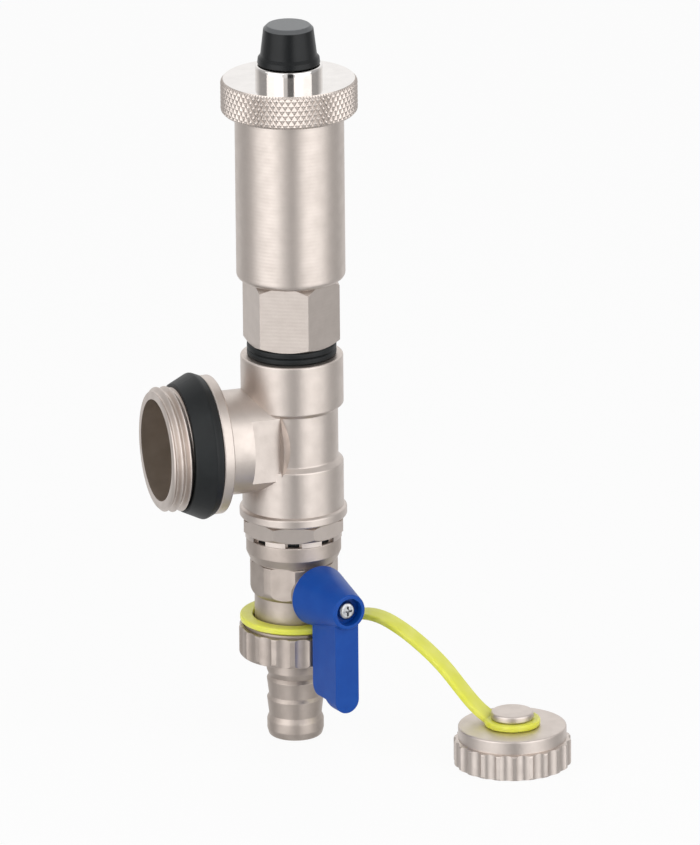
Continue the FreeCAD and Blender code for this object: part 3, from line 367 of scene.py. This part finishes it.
# Laminate: matt and even, so that nothing on it draws the eye from the object.
table_top, table_shader = new_material("White table laminate", "F4F4F4", 0.6)
table_path = add(table_top, "ShaderNodeLightPath")
seen = add(
    table_top,
    "ShaderNodeMath",
    {0: table_path.outputs["Is Camera Ray"], 1: table_path.outputs["Is Glossy Ray"]},
    operation="ADD",
)
seen_too = add(
    table_top,
    "ShaderNodeMath",
    {0: seen.outputs[0], 1: table_path.outputs["Is Transmission Ray"]},
    operation="ADD",
)
share = add(
    table_top,
    "ShaderNodeMath",
    {0: seen_too.outputs[0], 1: TABLE_WHITE_SHARE},
    operation="MULTIPLY",
    use_clamp=True,
)
glow = add(
    table_top, "ShaderNodeEmission", {"Color": linear("FFFFFF"), "Strength": CAMERA_WHITE}
)
blend = add(
    table_top,
    "ShaderNodeMixShader",
    {0: share.outputs[0], 1: table_shader.outputs["BSDF"], 2: glow.outputs["Emission"]},
)
table_surface = table_top.node_tree.nodes["Material Output"].inputs["Surface"]
link(table_top, blend.outputs["Shader"], table_surface)
table_mesh.materials.append(table_top)
table.visible_glossy = False
print("table at", round(table_z / MM, 2), "mm")

# %% [markdown]
# ## The lamps
# Two tall softboxes stand left and right of the camera, and a weak wide one lights the edges from
# above and behind. Small lamps would give hard dots on the metal. A softbox gives each cylinder a
# broad band of light, and the gap between the two draws its shape.

# %% Set up the softboxes
SOFTBOXES = (  # name, azimuth and elevation; distance, width and height in metres; radiance
    ("left_softbox", -68, 15.5, 0.95, 1.05, 1.5, 1.3),
    ("right_softbox", 33, 15.5, 0.95, 1.15, 1.5, 1.3),
    ("back_softbox", 162, 34, 1.2, 1.6, 1.1, 0.2),
)


def softbox(name, azimuth, elevation, distance, width, height, radiance):
    """A rectangular lamp that faces the object. Its power follows from the radiance wanted."""
    area = bpy.data.lights.new(name, "AREA")
    area.shape = "RECTANGLE"
    area.size = width
    area.size_y = height
    area.energy = radiance * math.pi * width * height
    lamp = bpy.data.objects.new(name, area)
    bpy.context.scene.collection.objects.link(lamp)
    away = direction(azimuth, elevation)
    lamp.location = AIM + away * distance
    lamp.rotation_euler = away.to_track_quat("Z", "Y").to_euler()
    lamp.visible_camera = False


for box in SOFTBOXES:
    softbox(*box)
print("softboxes:", len(SOFTBOXES))

# %% [markdown]
# ## Metals
# The brass is nickel-plated. Nickel is a little warmer and darker than chromium. The cast pieces
# are tumbled before plating, which leaves them satin with a faint unevenness, and the turned
# pieces have fine rings round their axis. An image could hold such marks, but it would have to
# be wrapped round every piece. Noise and waves in the piece's own space fit any shape.

# %% A recipe for nickel plate
NICKEL = "D2C8C1"
NICKEL_WORN = "CBC1BA"
NICKEL_CLOUDS = 0.3  # per mm, so the plate's tone changes over about 3 mm
DULL_SHARE = 1.07  # roughness of the dull places, as a share of the usual
RUBBED_SHARE = 0.95
TUMBLED_GRAIN = 1.1  # mm, the unevenness that tumbling leaves
TURNED_RING = 0.5  # mm; real tool marks are finer and would not show
PLATE_RELIEF = 0.05  # mm, how deep the grain and the rings are drawn


def in_millimetres(material):
    """Object coordinates in millimetres, so that a pattern's scale is one over its size."""
    coordinates = add(material, "ShaderNodeTexCoord")
    scaled = add(
        material,
        "ShaderNodeVectorMath",
        {0: coordinates.outputs["Object"], 1: (1 / MM, 1 / MM, 1 / MM)},
        operation="MULTIPLY",
    )
    return scaled.outputs["Vector"]


def nickel(name, roughness, unevenness, rings=0.0, colours=(NICKEL, NICKEL_WORN)):
    """Nickel plate: satin, with a grain from tumbling or rings from turning."""
    plate, worn = colours
    material, shader = new_material(name, plate, roughness, Metallic=1.0)
    at = in_millimetres(material)
    cloud = add(
        material, "ShaderNodeTexNoise", {"Vector": at, "Scale": NICKEL_CLOUDS, "Detail": 5.0}
    ).outputs["Fac"]
    tone = add(material, "ShaderNodeValToRGB", {"Fac": cloud}, stops=[(0.3, worn), (0.65, plate)])
    link(material, tone.outputs["Color"], shader.inputs["Base Color"])
    wear = add(
        material,
        "ShaderNodeMapRange",
        {
            "Value": cloud,
            "From Min": 0.3,
            "From Max": 0.7,
            "To Min": roughness * DULL_SHARE,
            "To Max": roughness * RUBBED_SHARE,
        },
    )
    link(material, wear.outputs["Result"], shader.inputs["Roughness"])
    grain = add(
        material,
        "ShaderNodeTexNoise",
        {"Vector": at, "Scale": 1 / TUMBLED_GRAIN, "Detail": 4.0, "Roughness": 0.6},
    )
    height = grain.outputs["Fac"]
    if rings:
        ring_scale = 1 / TURNED_RING / (2 * math.pi)
        marks = add(
            material,
            "ShaderNodeTexWave",
            {"Vector": at, "Scale": ring_scale, "Distortion": 0.6, "Detail": 2.0},
            bands_direction="Z",
        )
        both = add(
            material,
            "ShaderNodeMix",
            {"Factor": rings, "A": height, "B": marks.outputs["Fac"]},
        )
        height = both.outputs["Result"]
    bump = add(
        material,
        "ShaderNodeBump",
        {"Height": height, "Strength": unevenness, "Distance": PLATE_RELIEF * MM},
    )
    link(material, bump.outputs["Normal"], shader.inputs["Normal"])
    return material


# %% [markdown]
# The same recipe gives five plates. They differ in how the brass under them was worked, and that
# is what the eye reads: a cast tee, a turned chamber, a polished boss and a rolled knurl. The
# plate for the castings round the outlet is also painted darker, as shade.

# %% Mix the nickel plates

# Broad soft highlights, a little uneven, as tumbling leaves a casting.
nickel_tumbled = nickel("Nickel plate on tumbled cast brass", 0.42, 0.5)
# The same softness, with fine level rings that a lathe leaves.
nickel_satin = nickel("Satin nickel plate on turned brass", 0.42, 0.3, rings=0.5)
# Duller, and darker as painted shade, for the small castings low round the outlet.
# The darker colours of this plate are painted shade on the lower pieces.
nickel_soft_shaded = nickel(
    "Nickel plate on dulled cast brass, with painted shade", 0.47, 0.5, colours=("C1B6AE", "B7ACA4")
)
# Clear reflections with hard edges, which set the boss apart from all the satin.
nickel_bright = nickel(
    "Bright nickel plate on polished brass", 0.09, 0.05, colours=("E3DFDC", "DCD8D5")
)
# Bright enough that each small pyramid of the knurl glints by itself.
nickel_knurl = nickel("Nickel plate on knurled brass", 0.33, 0.15)
print("materials so far:", len(bpy.data.materials))

# %% [markdown]
# Other metals need only a colour with soft stains. The tee's bore isn't plated, and its brass is
# painted darker and browner as shade inside the port. The lever's screw is zinc-plated steel, the
# valve's stem is bare brass, and its ball is chromium-plated. One plain colour would look like
# paint, so each has two close tones.

# %% Bore, screw, stem and ball


def stained_metal(name, colour, dark, light, roughness, stains, detail, metallic=1.0):
    """A metal with soft stains between two tones. The stains are counted per millimetre."""
    material, shader = new_material(name, colour, roughness, Metallic=metallic)
    spots = add(
        material,
        "ShaderNodeTexNoise",
        {"Vector": in_millimetres(material), "Scale": stains, "Detail": detail},
    )
    tone = add(
        material,
        "ShaderNodeValToRGB",
        {"Fac": spots.outputs["Fac"]},
        stops=[(0.3, dark), (0.7, light)],
    )
    link(material, tone.outputs["Color"], shader.inputs["Base Color"])
    return material


# Brown and half dull, and darker than the plate as painted shade, which makes the port look deep.
bore_brass_painted_shade = stained_metal(
    "Unplated brass bore, with painted shade",
    "A39588", "978A7D", "AB9D90", 0.4, 0.12, 3.0, metallic=0.6,
)
# Cool grey with small spots, so the screw stands out from the warm nickel.
zinc_steel = stained_metal("Zinc-plated steel", "B9BABC", "9C9DA0", "C8C9CB", 0.28, 1.4, 4.0)
# Yellow and fairly smooth, as brass is where no plate covers it.
turned_brass = stained_metal("Turned brass", "C9A25B", "B58E4C", "D4AF68", 0.26, 0.5, 3.0)
# Nearly a mirror, because a valve's ball has to slide on its seats.
chromed_ball = stained_metal(
    "Chromium plate on a polished ball", "D8D9DC", "CFD0D4", "DFE0E2", 0.06, 0.4, 3.0
)
print("materials so far:", len(bpy.data.materials))

# %% [markdown]
# The vent's chamber is turned, and the hexagon under it keeps the slightly smoother face of the
# drawn bar. Both are one piece of metal. Two materials would need a cut between them, so one
# material holds both, and the height decides.

# %% Smooth the hexagon
CHAMBER_BOTTOM = 43.9
HEXAGON_ROUGHNESS = 0.4


def smoother_below(material, level, roughness):
    """Sets a material's roughness under a level, in millimetres."""
    shader = material.node_tree.nodes["Principled BSDF"]
    usual = shader.inputs["Roughness"].links[0].from_socket
    split = add(material, "ShaderNodeSeparateXYZ", {"Vector": in_millimetres(material)})
    under = add(
        material, "ShaderNodeMath", {0: split.outputs["Z"], 1: level}, operation="LESS_THAN"
    )
    chosen = add(
        material, "ShaderNodeMix", {"Factor": under.outputs[0], "A": usual, "B": roughness}
    )
    link(material, chosen.outputs["Result"], shader.inputs["Roughness"])


smoother_below(nickel_satin, CHAMBER_BOTTOM, HEXAGON_ROUGHNESS)
print("smoother under", CHAMBER_BOTTOM, "mm")

# %% [markdown]
# ## Rubber and plastics
# Moulded rubber and nylon carry the fine spark-eroded grain of their moulds. It could be modelled,
# but it is far too small, so a bump map tilts the surface instead. The lever is semi-gloss nylon.
# The strap is a translucent polyethylene that glows where light comes through it.

# %% A recipe for moulded pieces
MOULD_CLOUDS = 0.22  # per mm, so the tone changes over about 5 mm
MOULD_RELIEF = 0.06  # mm; like the grain sizes below, coarser than real, so that it shows


def moulded(name, colour, worn, roughness, grain_mm, depth, **shader_values):
    """A moulded plastic or rubber: a fine mould grain, and a little wear in its colour."""
    material, shader = new_material(name, colour, roughness, **shader_values)
    at = in_millimetres(material)
    cloud = add(
        material, "ShaderNodeTexNoise", {"Vector": at, "Scale": MOULD_CLOUDS, "Detail": 5.0}
    )
    tone = add(
        material,
        "ShaderNodeValToRGB",
        {"Fac": cloud.outputs["Fac"]},
        stops=[(0.35, colour), (0.75, worn)],
    )
    link(material, tone.outputs["Color"], shader.inputs["Base Color"])
    grain = add(
        material,
        "ShaderNodeTexNoise",
        {"Vector": at, "Scale": 1 / grain_mm, "Detail": 3.0, "Roughness": 0.65},
    )
    bump = add(
        material,
        "ShaderNodeBump",
        {"Height": grain.outputs["Fac"], "Strength": depth, "Distance": MOULD_RELIEF * MM},
    )
    link(material, bump.outputs["Normal"], shader.inputs["Normal"])
    return material


# %% [markdown]
# Six materials use that recipe. Black rubber and black nylon differ mostly in their sheen. Light
# runs some way into the strap before it comes out again, and blue light runs least far, which is
# why its edges look so yellow.

# %% Mix the rubber and plastics
STRAP_SCATTER = 1.6  # mm that red and green light run inside the strap
STRAP_SCATTER_SHARES = (1.0, 1.0, 0.35)  # red, green, blue

# Black without a shine, so the seals draw a quiet dark line between bright metals.
rubber = moulded("Moulded EPDM rubber", "0C1012", "15191B", 0.5, 0.6, 0.35, Specular_IOR_Level=0.35)
# A soft sheen along the dust cap's edges tells it from the rubber.
black_nylon = moulded(
    "Black moulded nylon", "0A0D0F", "121517", 0.36, 0.45, 0.4, Specular_IOR_Level=0.3
)
# A strong even blue with a dim highlight.
blue_nylon = moulded(
    "Blue moulded nylon", "07469F", "0E4DA6", 0.38, 0.5, 0.25, Specular_IOR_Level=0.25
)
# A slightly yellow white, as the float and its lever have.
polypropylene = moulded("White moulded polypropylene", "E6E6E0", "DAD9D2", 0.45, 0.5, 0.2)
# A purer, matt white for the ball's seats.
fluoropolymer = moulded("White machined fluoropolymer", "F0EFEA", "E2E1DC", 0.5, 0.4, 0.2)
# Glows from inside, which no painted surface does.
strap_plastic = moulded(
    "Yellow-green translucent polyethylene", "E6E84E", "EEEE74", 0.38, 0.6, 0.2,
    Subsurface_Weight=0.6, Subsurface_Scale=STRAP_SCATTER * MM,
)
strap_shader = strap_plastic.node_tree.nodes["Principled BSDF"]
strap_shader.inputs["Subsurface Radius"].default_value = STRAP_SCATTER_SHARES
print("materials in all:", len(bpy.data.materials))

# %% [markdown]
# The flat end of the dust cap has a painted sheen: it is a lighter grey where it faces up, which
# stands in for the light that its top reflects. A second material for one face would end in a hard
# line. Here the surface's own direction decides, which stays with the piece from every side. A
# level keeps the painted sheen off the cap's lower bead.

# %% Paint a sheen on the cap's flat end
# A lighter grey painted where the cap faces up. It stands in for the light that its top reflects.
PAINTED_TOP_SHEEN = "7A7C7E"
TOP_SHEEN_LEVEL = 111.0
TOP_SHEEN_FADE = (0.4, 0.9)  # the upward part of the surface's direction, from no painted sheen to full sheen


def paint_sheen_on_top(material, painted_sheen, level):
    """Mixes a painted sheen, a lighter colour, into a moulded material where it faces up, above a
    level in millimetres.
    """
    shader = material.node_tree.nodes["Principled BSDF"]
    own_colour = shader.inputs["Base Color"].links[0].from_socket
    surface = add(material, "ShaderNodeNewGeometry")
    split = add(material, "ShaderNodeSeparateXYZ", {"Vector": surface.outputs["Normal"]})
    facing_up = add(
        material,
        "ShaderNodeMapRange",
        {"Value": split.outputs["Z"], "From Min": TOP_SHEEN_FADE[0], "From Max": TOP_SHEEN_FADE[1]},
    )
    height = add(material, "ShaderNodeSeparateXYZ", {"Vector": in_millimetres(material)})
    above = add(
        material, "ShaderNodeMath", {0: height.outputs["Z"], 1: level}, operation="GREATER_THAN"
    )
    # Where the surface faces up above the level, the painted sheen is mixed in.
    sheen_share = add(
        material,
        "ShaderNodeMath",
        {0: facing_up.outputs["Result"], 1: above.outputs[0]},
        operation="MULTIPLY",
    )
    # Inputs 6 and 7 are the colours A and B of a mix node, and output 2 is its colour.
    mixed = add(
        material,
        "ShaderNodeMix",
        {"Factor": sheen_share.outputs[0], 6: own_colour, 7: linear(painted_sheen)},
        data_type="RGBA",
    )
    link(material, mixed.outputs[2], shader.inputs["Base Color"])


paint_sheen_on_top(black_nylon, PAINTED_TOP_SHEEN, TOP_SHEEN_LEVEL)
print("dust above", TOP_SHEEN_LEVEL, "mm")

# %% [markdown]
# ## A finish for every piece
# The engineering model is 31 pieces, and each is of one material, as on the real object. A finish
# goes into the material slots of a piece, so its mesh stays as it was loaded. The small castings
# round the outlet are duller than the tee above them, and painted darker as shade.

# %% Give each engineering piece its finish
FINISHES = (
    (nickel_tumbled, ("tee_body", "valve_end_piece", "blanking_cap")),
    (nickel_soft_shaded, ("valve_body", "hose_tail", "union_nut")),
    (nickel_satin, ("vent_body", "vent_cover")),
    (nickel_bright, ("vent_nozzle",)),
    (rubber, ("port_seal_ring", "vent_base_seal", "inlet_o_ring", "cover_gasket")),
    (rubber, ("dust_cap_seal", "nozzle_pad", "stem_o_rings", "tail_gasket", "cap_gasket")),
    (black_nylon, ("vent_dust_cap",)),
    (blue_nylon, ("lever_handle",)),
    (polypropylene, ("vent_float", "float_lever", "lever_bracket")),
    (fluoropolymer, ("seat_ring_upper", "seat_ring_lower", "stem_washer")),
    (chromed_ball, ("valve_ball",)),
    (turned_brass, ("valve_stem",)),
    (zinc_steel, ("handle_screw", "lever_pin")),
    (strap_plastic, ("cap_strap",)),
)
for finish, pieces in FINISHES:
    for node in pieces:
        for slot in nodes[node].material_slots:
            slot.material = finish
print("pieces with a finish:", sum(len(pieces) for _, pieces in FINISHES), "of", len(nodes))

# %% [markdown]
# ## The tee's port
# The engineering model has the port's thread as a plain cylinder, because a helix there would
# cost far more than it gives. The thread comes later, as a sleeve of its own. The plain cylinder
# would show through it, so on a copy of the tee its points are drawn in under the sleeve. Cutting
# it off would be simpler, but it would leave the casting open.

# %% Make room for the thread on the tee
PORT_END_X = -5.7
PORT_BORE_R = 13.5
THREAD_BACK_X = 0.01  # the thread ends at the seal's face, at x = 0
THREAD_CORE_R = 15.1
END_LIP = 0.1


def copy_of(node, name):
    """A copy of a node's mesh, as a piece of its own."""
    mesh = nodes[node].data.copy()
    mesh.name = name
    piece = bpy.data.objects.new(name, mesh)
    bpy.context.scene.collection.objects.link(piece)
    return piece


tee_casting = copy_of("tee_body", "tee_casting")
under_thread = 0
for vertex in tee_casting.data.vertices:
    at = vertex.co / MM
    radius = math.hypot(at.y, at.z)
    if at.x < THREAD_BACK_X and radius > THREAD_CORE_R:
        vertex.co.y *= THREAD_CORE_R / radius
        vertex.co.z *= THREAD_CORE_R / radius
        under_thread += 1
    if at.x < PORT_END_X + END_LIP:
        vertex.co.x = (PORT_END_X + END_LIP) * MM
print("points drawn in under the thread:", under_thread)

# %% [markdown]
# Inside the port the casting is bare. Its faces could be picked by hand, but a new version of the
# model would lose them. Their place in the port tells them apart, so they take the bore's finish
# by rule.

# %% Bare the port's bore
BORE_SKIN = 0.05  # mm past the bore's radius that still count as its wall
BORE_END_X = TEE_X - 12.5
BORE_LEAST_R = 8.4  # mm; faces nearer to the port's axis stay plated
FACING_DEEPER = 0.9  # faces that look along the bore, away from its mouth, stay plated
# The bore's material paints shade into the port: it is darker and browner than the plate.
tee_casting.data.materials.append(bore_brass_painted_shade)
bare_faces = 0
for face in tee_casting.data.polygons:
    centre = face.center / MM
    radius = math.hypot(centre.y, centre.z)
    in_port = radius < PORT_BORE_R + BORE_SKIN and centre.x < BORE_END_X
    face.material_index = (
        1 if in_port and face.normal.x < FACING_DEEPER and radius > BORE_LEAST_R else 0
    )
    bare_faces += face.material_index
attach(tee_casting, "root")
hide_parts("tee_body")
print("bare faces in the port:", bare_faces)

# %% [markdown]
# ## The air vent's hexagon
# How far round a screwed piece stands depends on how tight it was screwed. The photographed vent
# stopped ten degrees further round than the model's. The model stays as it is, and a copy of the
# vent's body is turned to show that.

# %% Turn the vent's body
HEXAGON_TURN = math.radians(-10)
about_vent = (
    Matrix.Translation((TEE_X * MM, 0, 0))
    @ Matrix.Rotation(HEXAGON_TURN, 4, "Z")
    @ Matrix.Translation((-TEE_X * MM, 0, 0))
)
vent_chamber = copy_of("vent_body", "vent_chamber")
vent_chamber.data.transform(about_vent)
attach(vent_chamber, "root")
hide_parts("vent_body")
print("turned by", round(math.degrees(HEXAGON_TURN)), "degrees")

# %% [markdown]
# ## The port's thread
# The pipe thread is a sleeve whose radius follows a wave that climbs once per turn. A pipe thread
# has rounded crests and roots, so a cosine is close to its true form. The sleeve is drawn as many
# outlines round the port's axis. Each runs from the port's end over the thread to the seal and
# back underneath, so the sleeve is a closed body.

# %% Wind the thread
PORT_THREAD_R = 16.62
PORT_NOSE_R = 15.92
NOSE_STEP = 0.25  # mm, how far under the nose's radius its chamfer starts
SEAL_NECK_R = 15.2
THREAD_INSIDE_R = 14.2
PIPE_PITCH = 2.309
PIPE_DEPTH = 1.35
CREST_WIDTH = 0.8  # under one, the crests are narrower than the roots
THREAD_COLUMNS = 180
THREAD_ROWS = 64


def pipe_thread(x, angle):
    """The thread's radius at a place along its axis and round it."""
    phase = (x / PIPE_PITCH - angle / (2 * math.pi)) % 1.0
    wave = PORT_THREAD_R - PIPE_DEPTH * (0.5 - 0.5 * math.cos(2 * math.pi * phase)) ** CREST_WIDTH
    nose = PORT_NOSE_R - NOSE_STEP + (x - PORT_END_X)
    return min(wave, nose)


def ring_faces(columns, count):
    """The faces of a closed ring: columns of outlines with count points each."""
    faces = []
    for i in range(columns):
        following = (i + 1) % columns
        for j in range(count):
            k = (j + 1) % count
            faces.append(
                (i * count + j, following * count + j, following * count + k, i * count + k)
            )
    return faces


thread_vertices = []
for i in range(THREAD_COLUMNS):
    angle = 2 * math.pi * i / THREAD_COLUMNS
    line = [(PORT_END_X, PORT_BORE_R)]
    for j in range(THREAD_ROWS + 1):
        x = PORT_END_X * (1 - j / THREAD_ROWS)
        line.append((x, pipe_thread(x, angle)))
    line += [
        (0.0, SEAL_NECK_R),
        (0.0, THREAD_INSIDE_R),
        (PORT_END_X + 3 * END_LIP, THREAD_INSIDE_R),
        (PORT_END_X + 2 * END_LIP, PORT_BORE_R),
    ]
    thread_vertices += [
        Vector((x, r * math.cos(angle), r * math.sin(angle))) * MM for x, r in line
    ]
thread_faces = ring_faces(THREAD_COLUMNS, len(line))
print("thread:", len(thread_faces), "faces")

# %% [markdown]
# A new form needs a mesh, a finish and soft shading. Shading everything smooth would blur the
# thread's nose, so faces stay sharp where they meet at more than a chosen angle.

# %% Show the thread


def mesh_object(name, vertices, faces, finish, smooth_angle=35.0):
    """A piece from vertices in metres, smooth up to an angle between its faces."""
    mesh = bpy.data.meshes.new(name)
    mesh.from_pydata(vertices, [], faces)
    mesh.materials.append(finish)
    piece = bpy.data.objects.new(name, mesh)
    bpy.context.scene.collection.objects.link(piece)
    mesh.shade_smooth()
    mesh.set_sharp_from_angle(angle=math.radians(smooth_angle))
    return piece


port_thread = mesh_object("port_thread", thread_vertices, thread_faces, nickel_tumbled, 50)
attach(port_thread, "root")
print("shown:", port_thread.name)

# %% [markdown]
# ## The knurled cover
# A knurling tool rolls crossing grooves into the cover's rim, and leaves rows of small pyramids.
# A bump map would shade them, but the rim's outline would stay smooth. So the rim is a grid in
# step with the grooves, and every groove runs along edges of the grid.

# %% Shape one point of the knurl
COVER_R = 18.0
COVER_LOW = 89.5
COVER_HIGH = 98.45
COVER_EDGE = 0.7
KNURL_DEPTH = 0.34
KNURL_STEPS = 4  # grid steps across one diamond
GROOVE_SLOPE = 0.75  # share of the way to a pyramid's middle that slopes


def knurl_radius(step_across, step_up, height):
    """The rim's radius at a grid point: grooves where either diagonal count is whole."""
    a = (step_across + step_up) / KNURL_STEPS % 1.0
    b = (step_across - step_up) / KNURL_STEPS % 1.0
    from_groove = min(a, 1 - a, b, 1 - b) * 2
    radius = COVER_R - KNURL_DEPTH * max(0.0, 1 - from_groove / GROOVE_SLOPE)
    from_end = min(height - COVER_LOW, COVER_HIGH - height)
    return min(radius, COVER_R - COVER_EDGE + from_end)


print("groove and crest:", knurl_radius(0, 0, 94.0), knurl_radius(2, 0, 94.0))

# %% [markdown]
# The whole cover is one closed outline, turned about its axis: over the roof, down the knurl, and
# back inside. On the knurl each square of the grid is cut into two triangles, along the diagonal
# that a groove follows. The knurl has a finish of its own.

# %% Roll the knurl
COVER_ROOF_T = 2.0
COVER_SKIRT_R = 15.43
COVER_HOLE_R = 4.98
ROOF_INSET = 0.6  # mm of flat between the roof's last point and the bevel
KNURL_COUNT = 68
KNURL_HEIGHT = 2.5
knurl_rows = int((COVER_HIGH - COVER_LOW) / (KNURL_HEIGHT / KNURL_STEPS))
row_pitch = (COVER_HIGH - COVER_LOW) / knurl_rows
columns = KNURL_COUNT * KNURL_STEPS
roof = [
    (COVER_HOLE_R, COVER_HIGH - COVER_ROOF_T),
    (COVER_HOLE_R, COVER_HIGH),
    (COVER_R - COVER_EDGE - ROOF_INSET, COVER_HIGH),
]
inside = [(COVER_SKIRT_R, COVER_LOW), (COVER_SKIRT_R, COVER_HIGH - COVER_ROOF_T)]
cover_vertices = []
for i in range(columns):
    angle = 2 * math.pi * i / columns
    rim = []
    for j in range(knurl_rows, -1, -1):
        height = COVER_LOW + j * row_pitch
        rim.append((knurl_radius(i, j, height), height))
    cover_vertices += [
        Vector((TEE_X + r * math.cos(angle), r * math.sin(angle), z)) * MM
        for r, z in roof + rim + inside
    ]
cover_line = len(roof + rim + inside)
cover_faces, cover_zones = [], []
for i in range(columns):
    following = (i + 1) % columns
    for j in range(cover_line):
        below = (j + 1) % cover_line
        a, b = i * cover_line + j, i * cover_line + below
        c, d = following * cover_line + below, following * cover_line + j
        if len(roof) <= j < len(roof) + knurl_rows:
            row = knurl_rows - (j - len(roof))
            cover_faces += [(a, b, c), (a, c, d)] if (i + row) % 2 == 0 else [(a, b, d), (b, c, d)]
            cover_zones += [1, 1]
        else:
            cover_faces.append((a, b, c, d))
            cover_zones.append(0)
print("cover:", len(cover_faces), "faces,", sum(cover_zones), "of them on the knurl")

# %% [markdown]
# The roof and the bevels are bright, as polishing leaves them. The knurl's faces are flat shaded,
# because smooth shading would melt the pyramids into ripples.

# %% Show the cover
knurled_cover = mesh_object("knurled_cover", cover_vertices, cover_faces, nickel_bright, 25)
knurled_cover.data.materials.append(nickel_knurl)
for face, zone in zip(knurled_cover.data.polygons, cover_zones):
    face.material_index = zone
    if zone:
        face.use_smooth = False
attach(knurled_cover, "root")
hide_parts("vent_cover")
print("shown:", knurled_cover.name)

# %% [markdown]
# ## The strap
# The engineering model has the strap as straight runs with arcs. Here a rounded section is swept
# along the NURBS line. Blender can bevel a curve by itself, but then the section may twist. With
# one fixed sideways direction, the band stays flat side up.

# %% Sweep the strap's band
STRAP_T = 1.7
STRAP_WIDTH = 6.0
BAND_EDGE = 0.5


def rounded_section(width, thickness, edge, steps=4):
    """A rounded rectangle's corner points, anticlockwise, as (across, up) pairs."""
    points = []
    for turn, (sx, sy) in enumerate(((1, 1), (-1, 1), (-1, -1), (1, -1))):
        for step in range(steps + 1):
            angle = math.radians(90 * (turn + step / steps))
            across = sx * (width / 2 - edge) + edge * math.cos(angle)
            up = sy * (thickness / 2 - edge) + edge * math.sin(angle)
            points.append((across, up))
    return points


def sweep(name, line, section, sideways, finish):
    """A closed band with the section given, along a line of points."""
    vertices = []
    for i, here in enumerate(line):
        ahead = (line[min(i + 1, len(line) - 1)] - line[max(i - 1, 0)]).normalized()
        up = ahead.cross(sideways).normalized()
        up = up if up.z > 0 else -up
        vertices += [here + (sideways * across + up * rise) * MM for across, rise in section]
    count = len(section)
    faces = []
    for i in range(len(line) - 1):
        for j in range(count):
            a, b = i * count + j, i * count + (j + 1) % count
            faces.append((a, b, b + count, a + count))
    faces.append(tuple(range(count - 1, -1, -1)))
    last = (len(line) - 1) * count
    faces.append(tuple(range(last, last + count)))
    return mesh_object(name, vertices, faces, finish)


band_section = rounded_section(STRAP_WIDTH, STRAP_T, BAND_EDGE)
strap_band = sweep("strap_band", strap_line, band_section, ACROSS, strap_plastic)
print("band:", len(strap_band.data.polygons), "faces")

# %% [markdown]
# The strap ends in two flat rings, one round the valve's neck and one under the cap's button.
# They could be swept too, but a ring is a turned form, so its section simply goes round an axis.
# The inner edges are rounded like the outer ones, because the whole strap is one moulding.

# %% Turn the strap's rings
RING_EDGE = 0.45
NECK_RING = (11.0, 14.4)  # inner and outer radius
NECK_RING_LOW = -50.9
END_RING = (5.05, 7.4)
END_RING_LOW = -72.45
RING_COLUMNS = 96


def turned(name, profile, centre, finish):
    """A ring turned about an upright axis from a closed (radius, height) outline, in mm."""
    vertices = []
    for i in range(RING_COLUMNS):
        angle = 2 * math.pi * i / RING_COLUMNS
        around = Vector((math.cos(angle), math.sin(angle), 0))
        for radius, height in profile:
            vertices.append((centre + around * radius + Vector((0, 0, height))) * MM)
    return mesh_object(name, vertices, ring_faces(RING_COLUMNS, len(profile)), finish)


def ring_outline(inner, outer, low):
    """A flat ring's section with rounded outer and inner edges."""
    middle, half = (inner + outer) / 2, (outer - inner) / 2
    points = rounded_section(2 * half, STRAP_T, RING_EDGE)
    return [(middle + across, low + STRAP_T / 2 + rise) for across, rise in points]


tee_axis = Vector((TEE_X, 0, 0))
cap_axis = tee_axis + CAP_PLACE
neck_outline = ring_outline(*NECK_RING, NECK_RING_LOW)
neck_ring = turned("strap_neck_ring", neck_outline, tee_axis, strap_plastic)
end_ring = turned("strap_end_ring", ring_outline(*END_RING, END_RING_LOW), cap_axis, strap_plastic)
print("rings:", neck_ring.name, "and", end_ring.name)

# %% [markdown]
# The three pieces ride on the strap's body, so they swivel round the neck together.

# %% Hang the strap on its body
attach(strap_band, "strap")
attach(neck_ring, "strap")
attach(end_ring, "strap")
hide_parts("cap_strap")

# %% [markdown]
# ## The picture
# The Standard view shows each colour as it was mixed. A film-like view would soften the
# highlights, but it also turns white into grey, and this picture is mostly white.

# %% Picture settings
bpy.context.scene.view_settings.view_transform = "Standard"
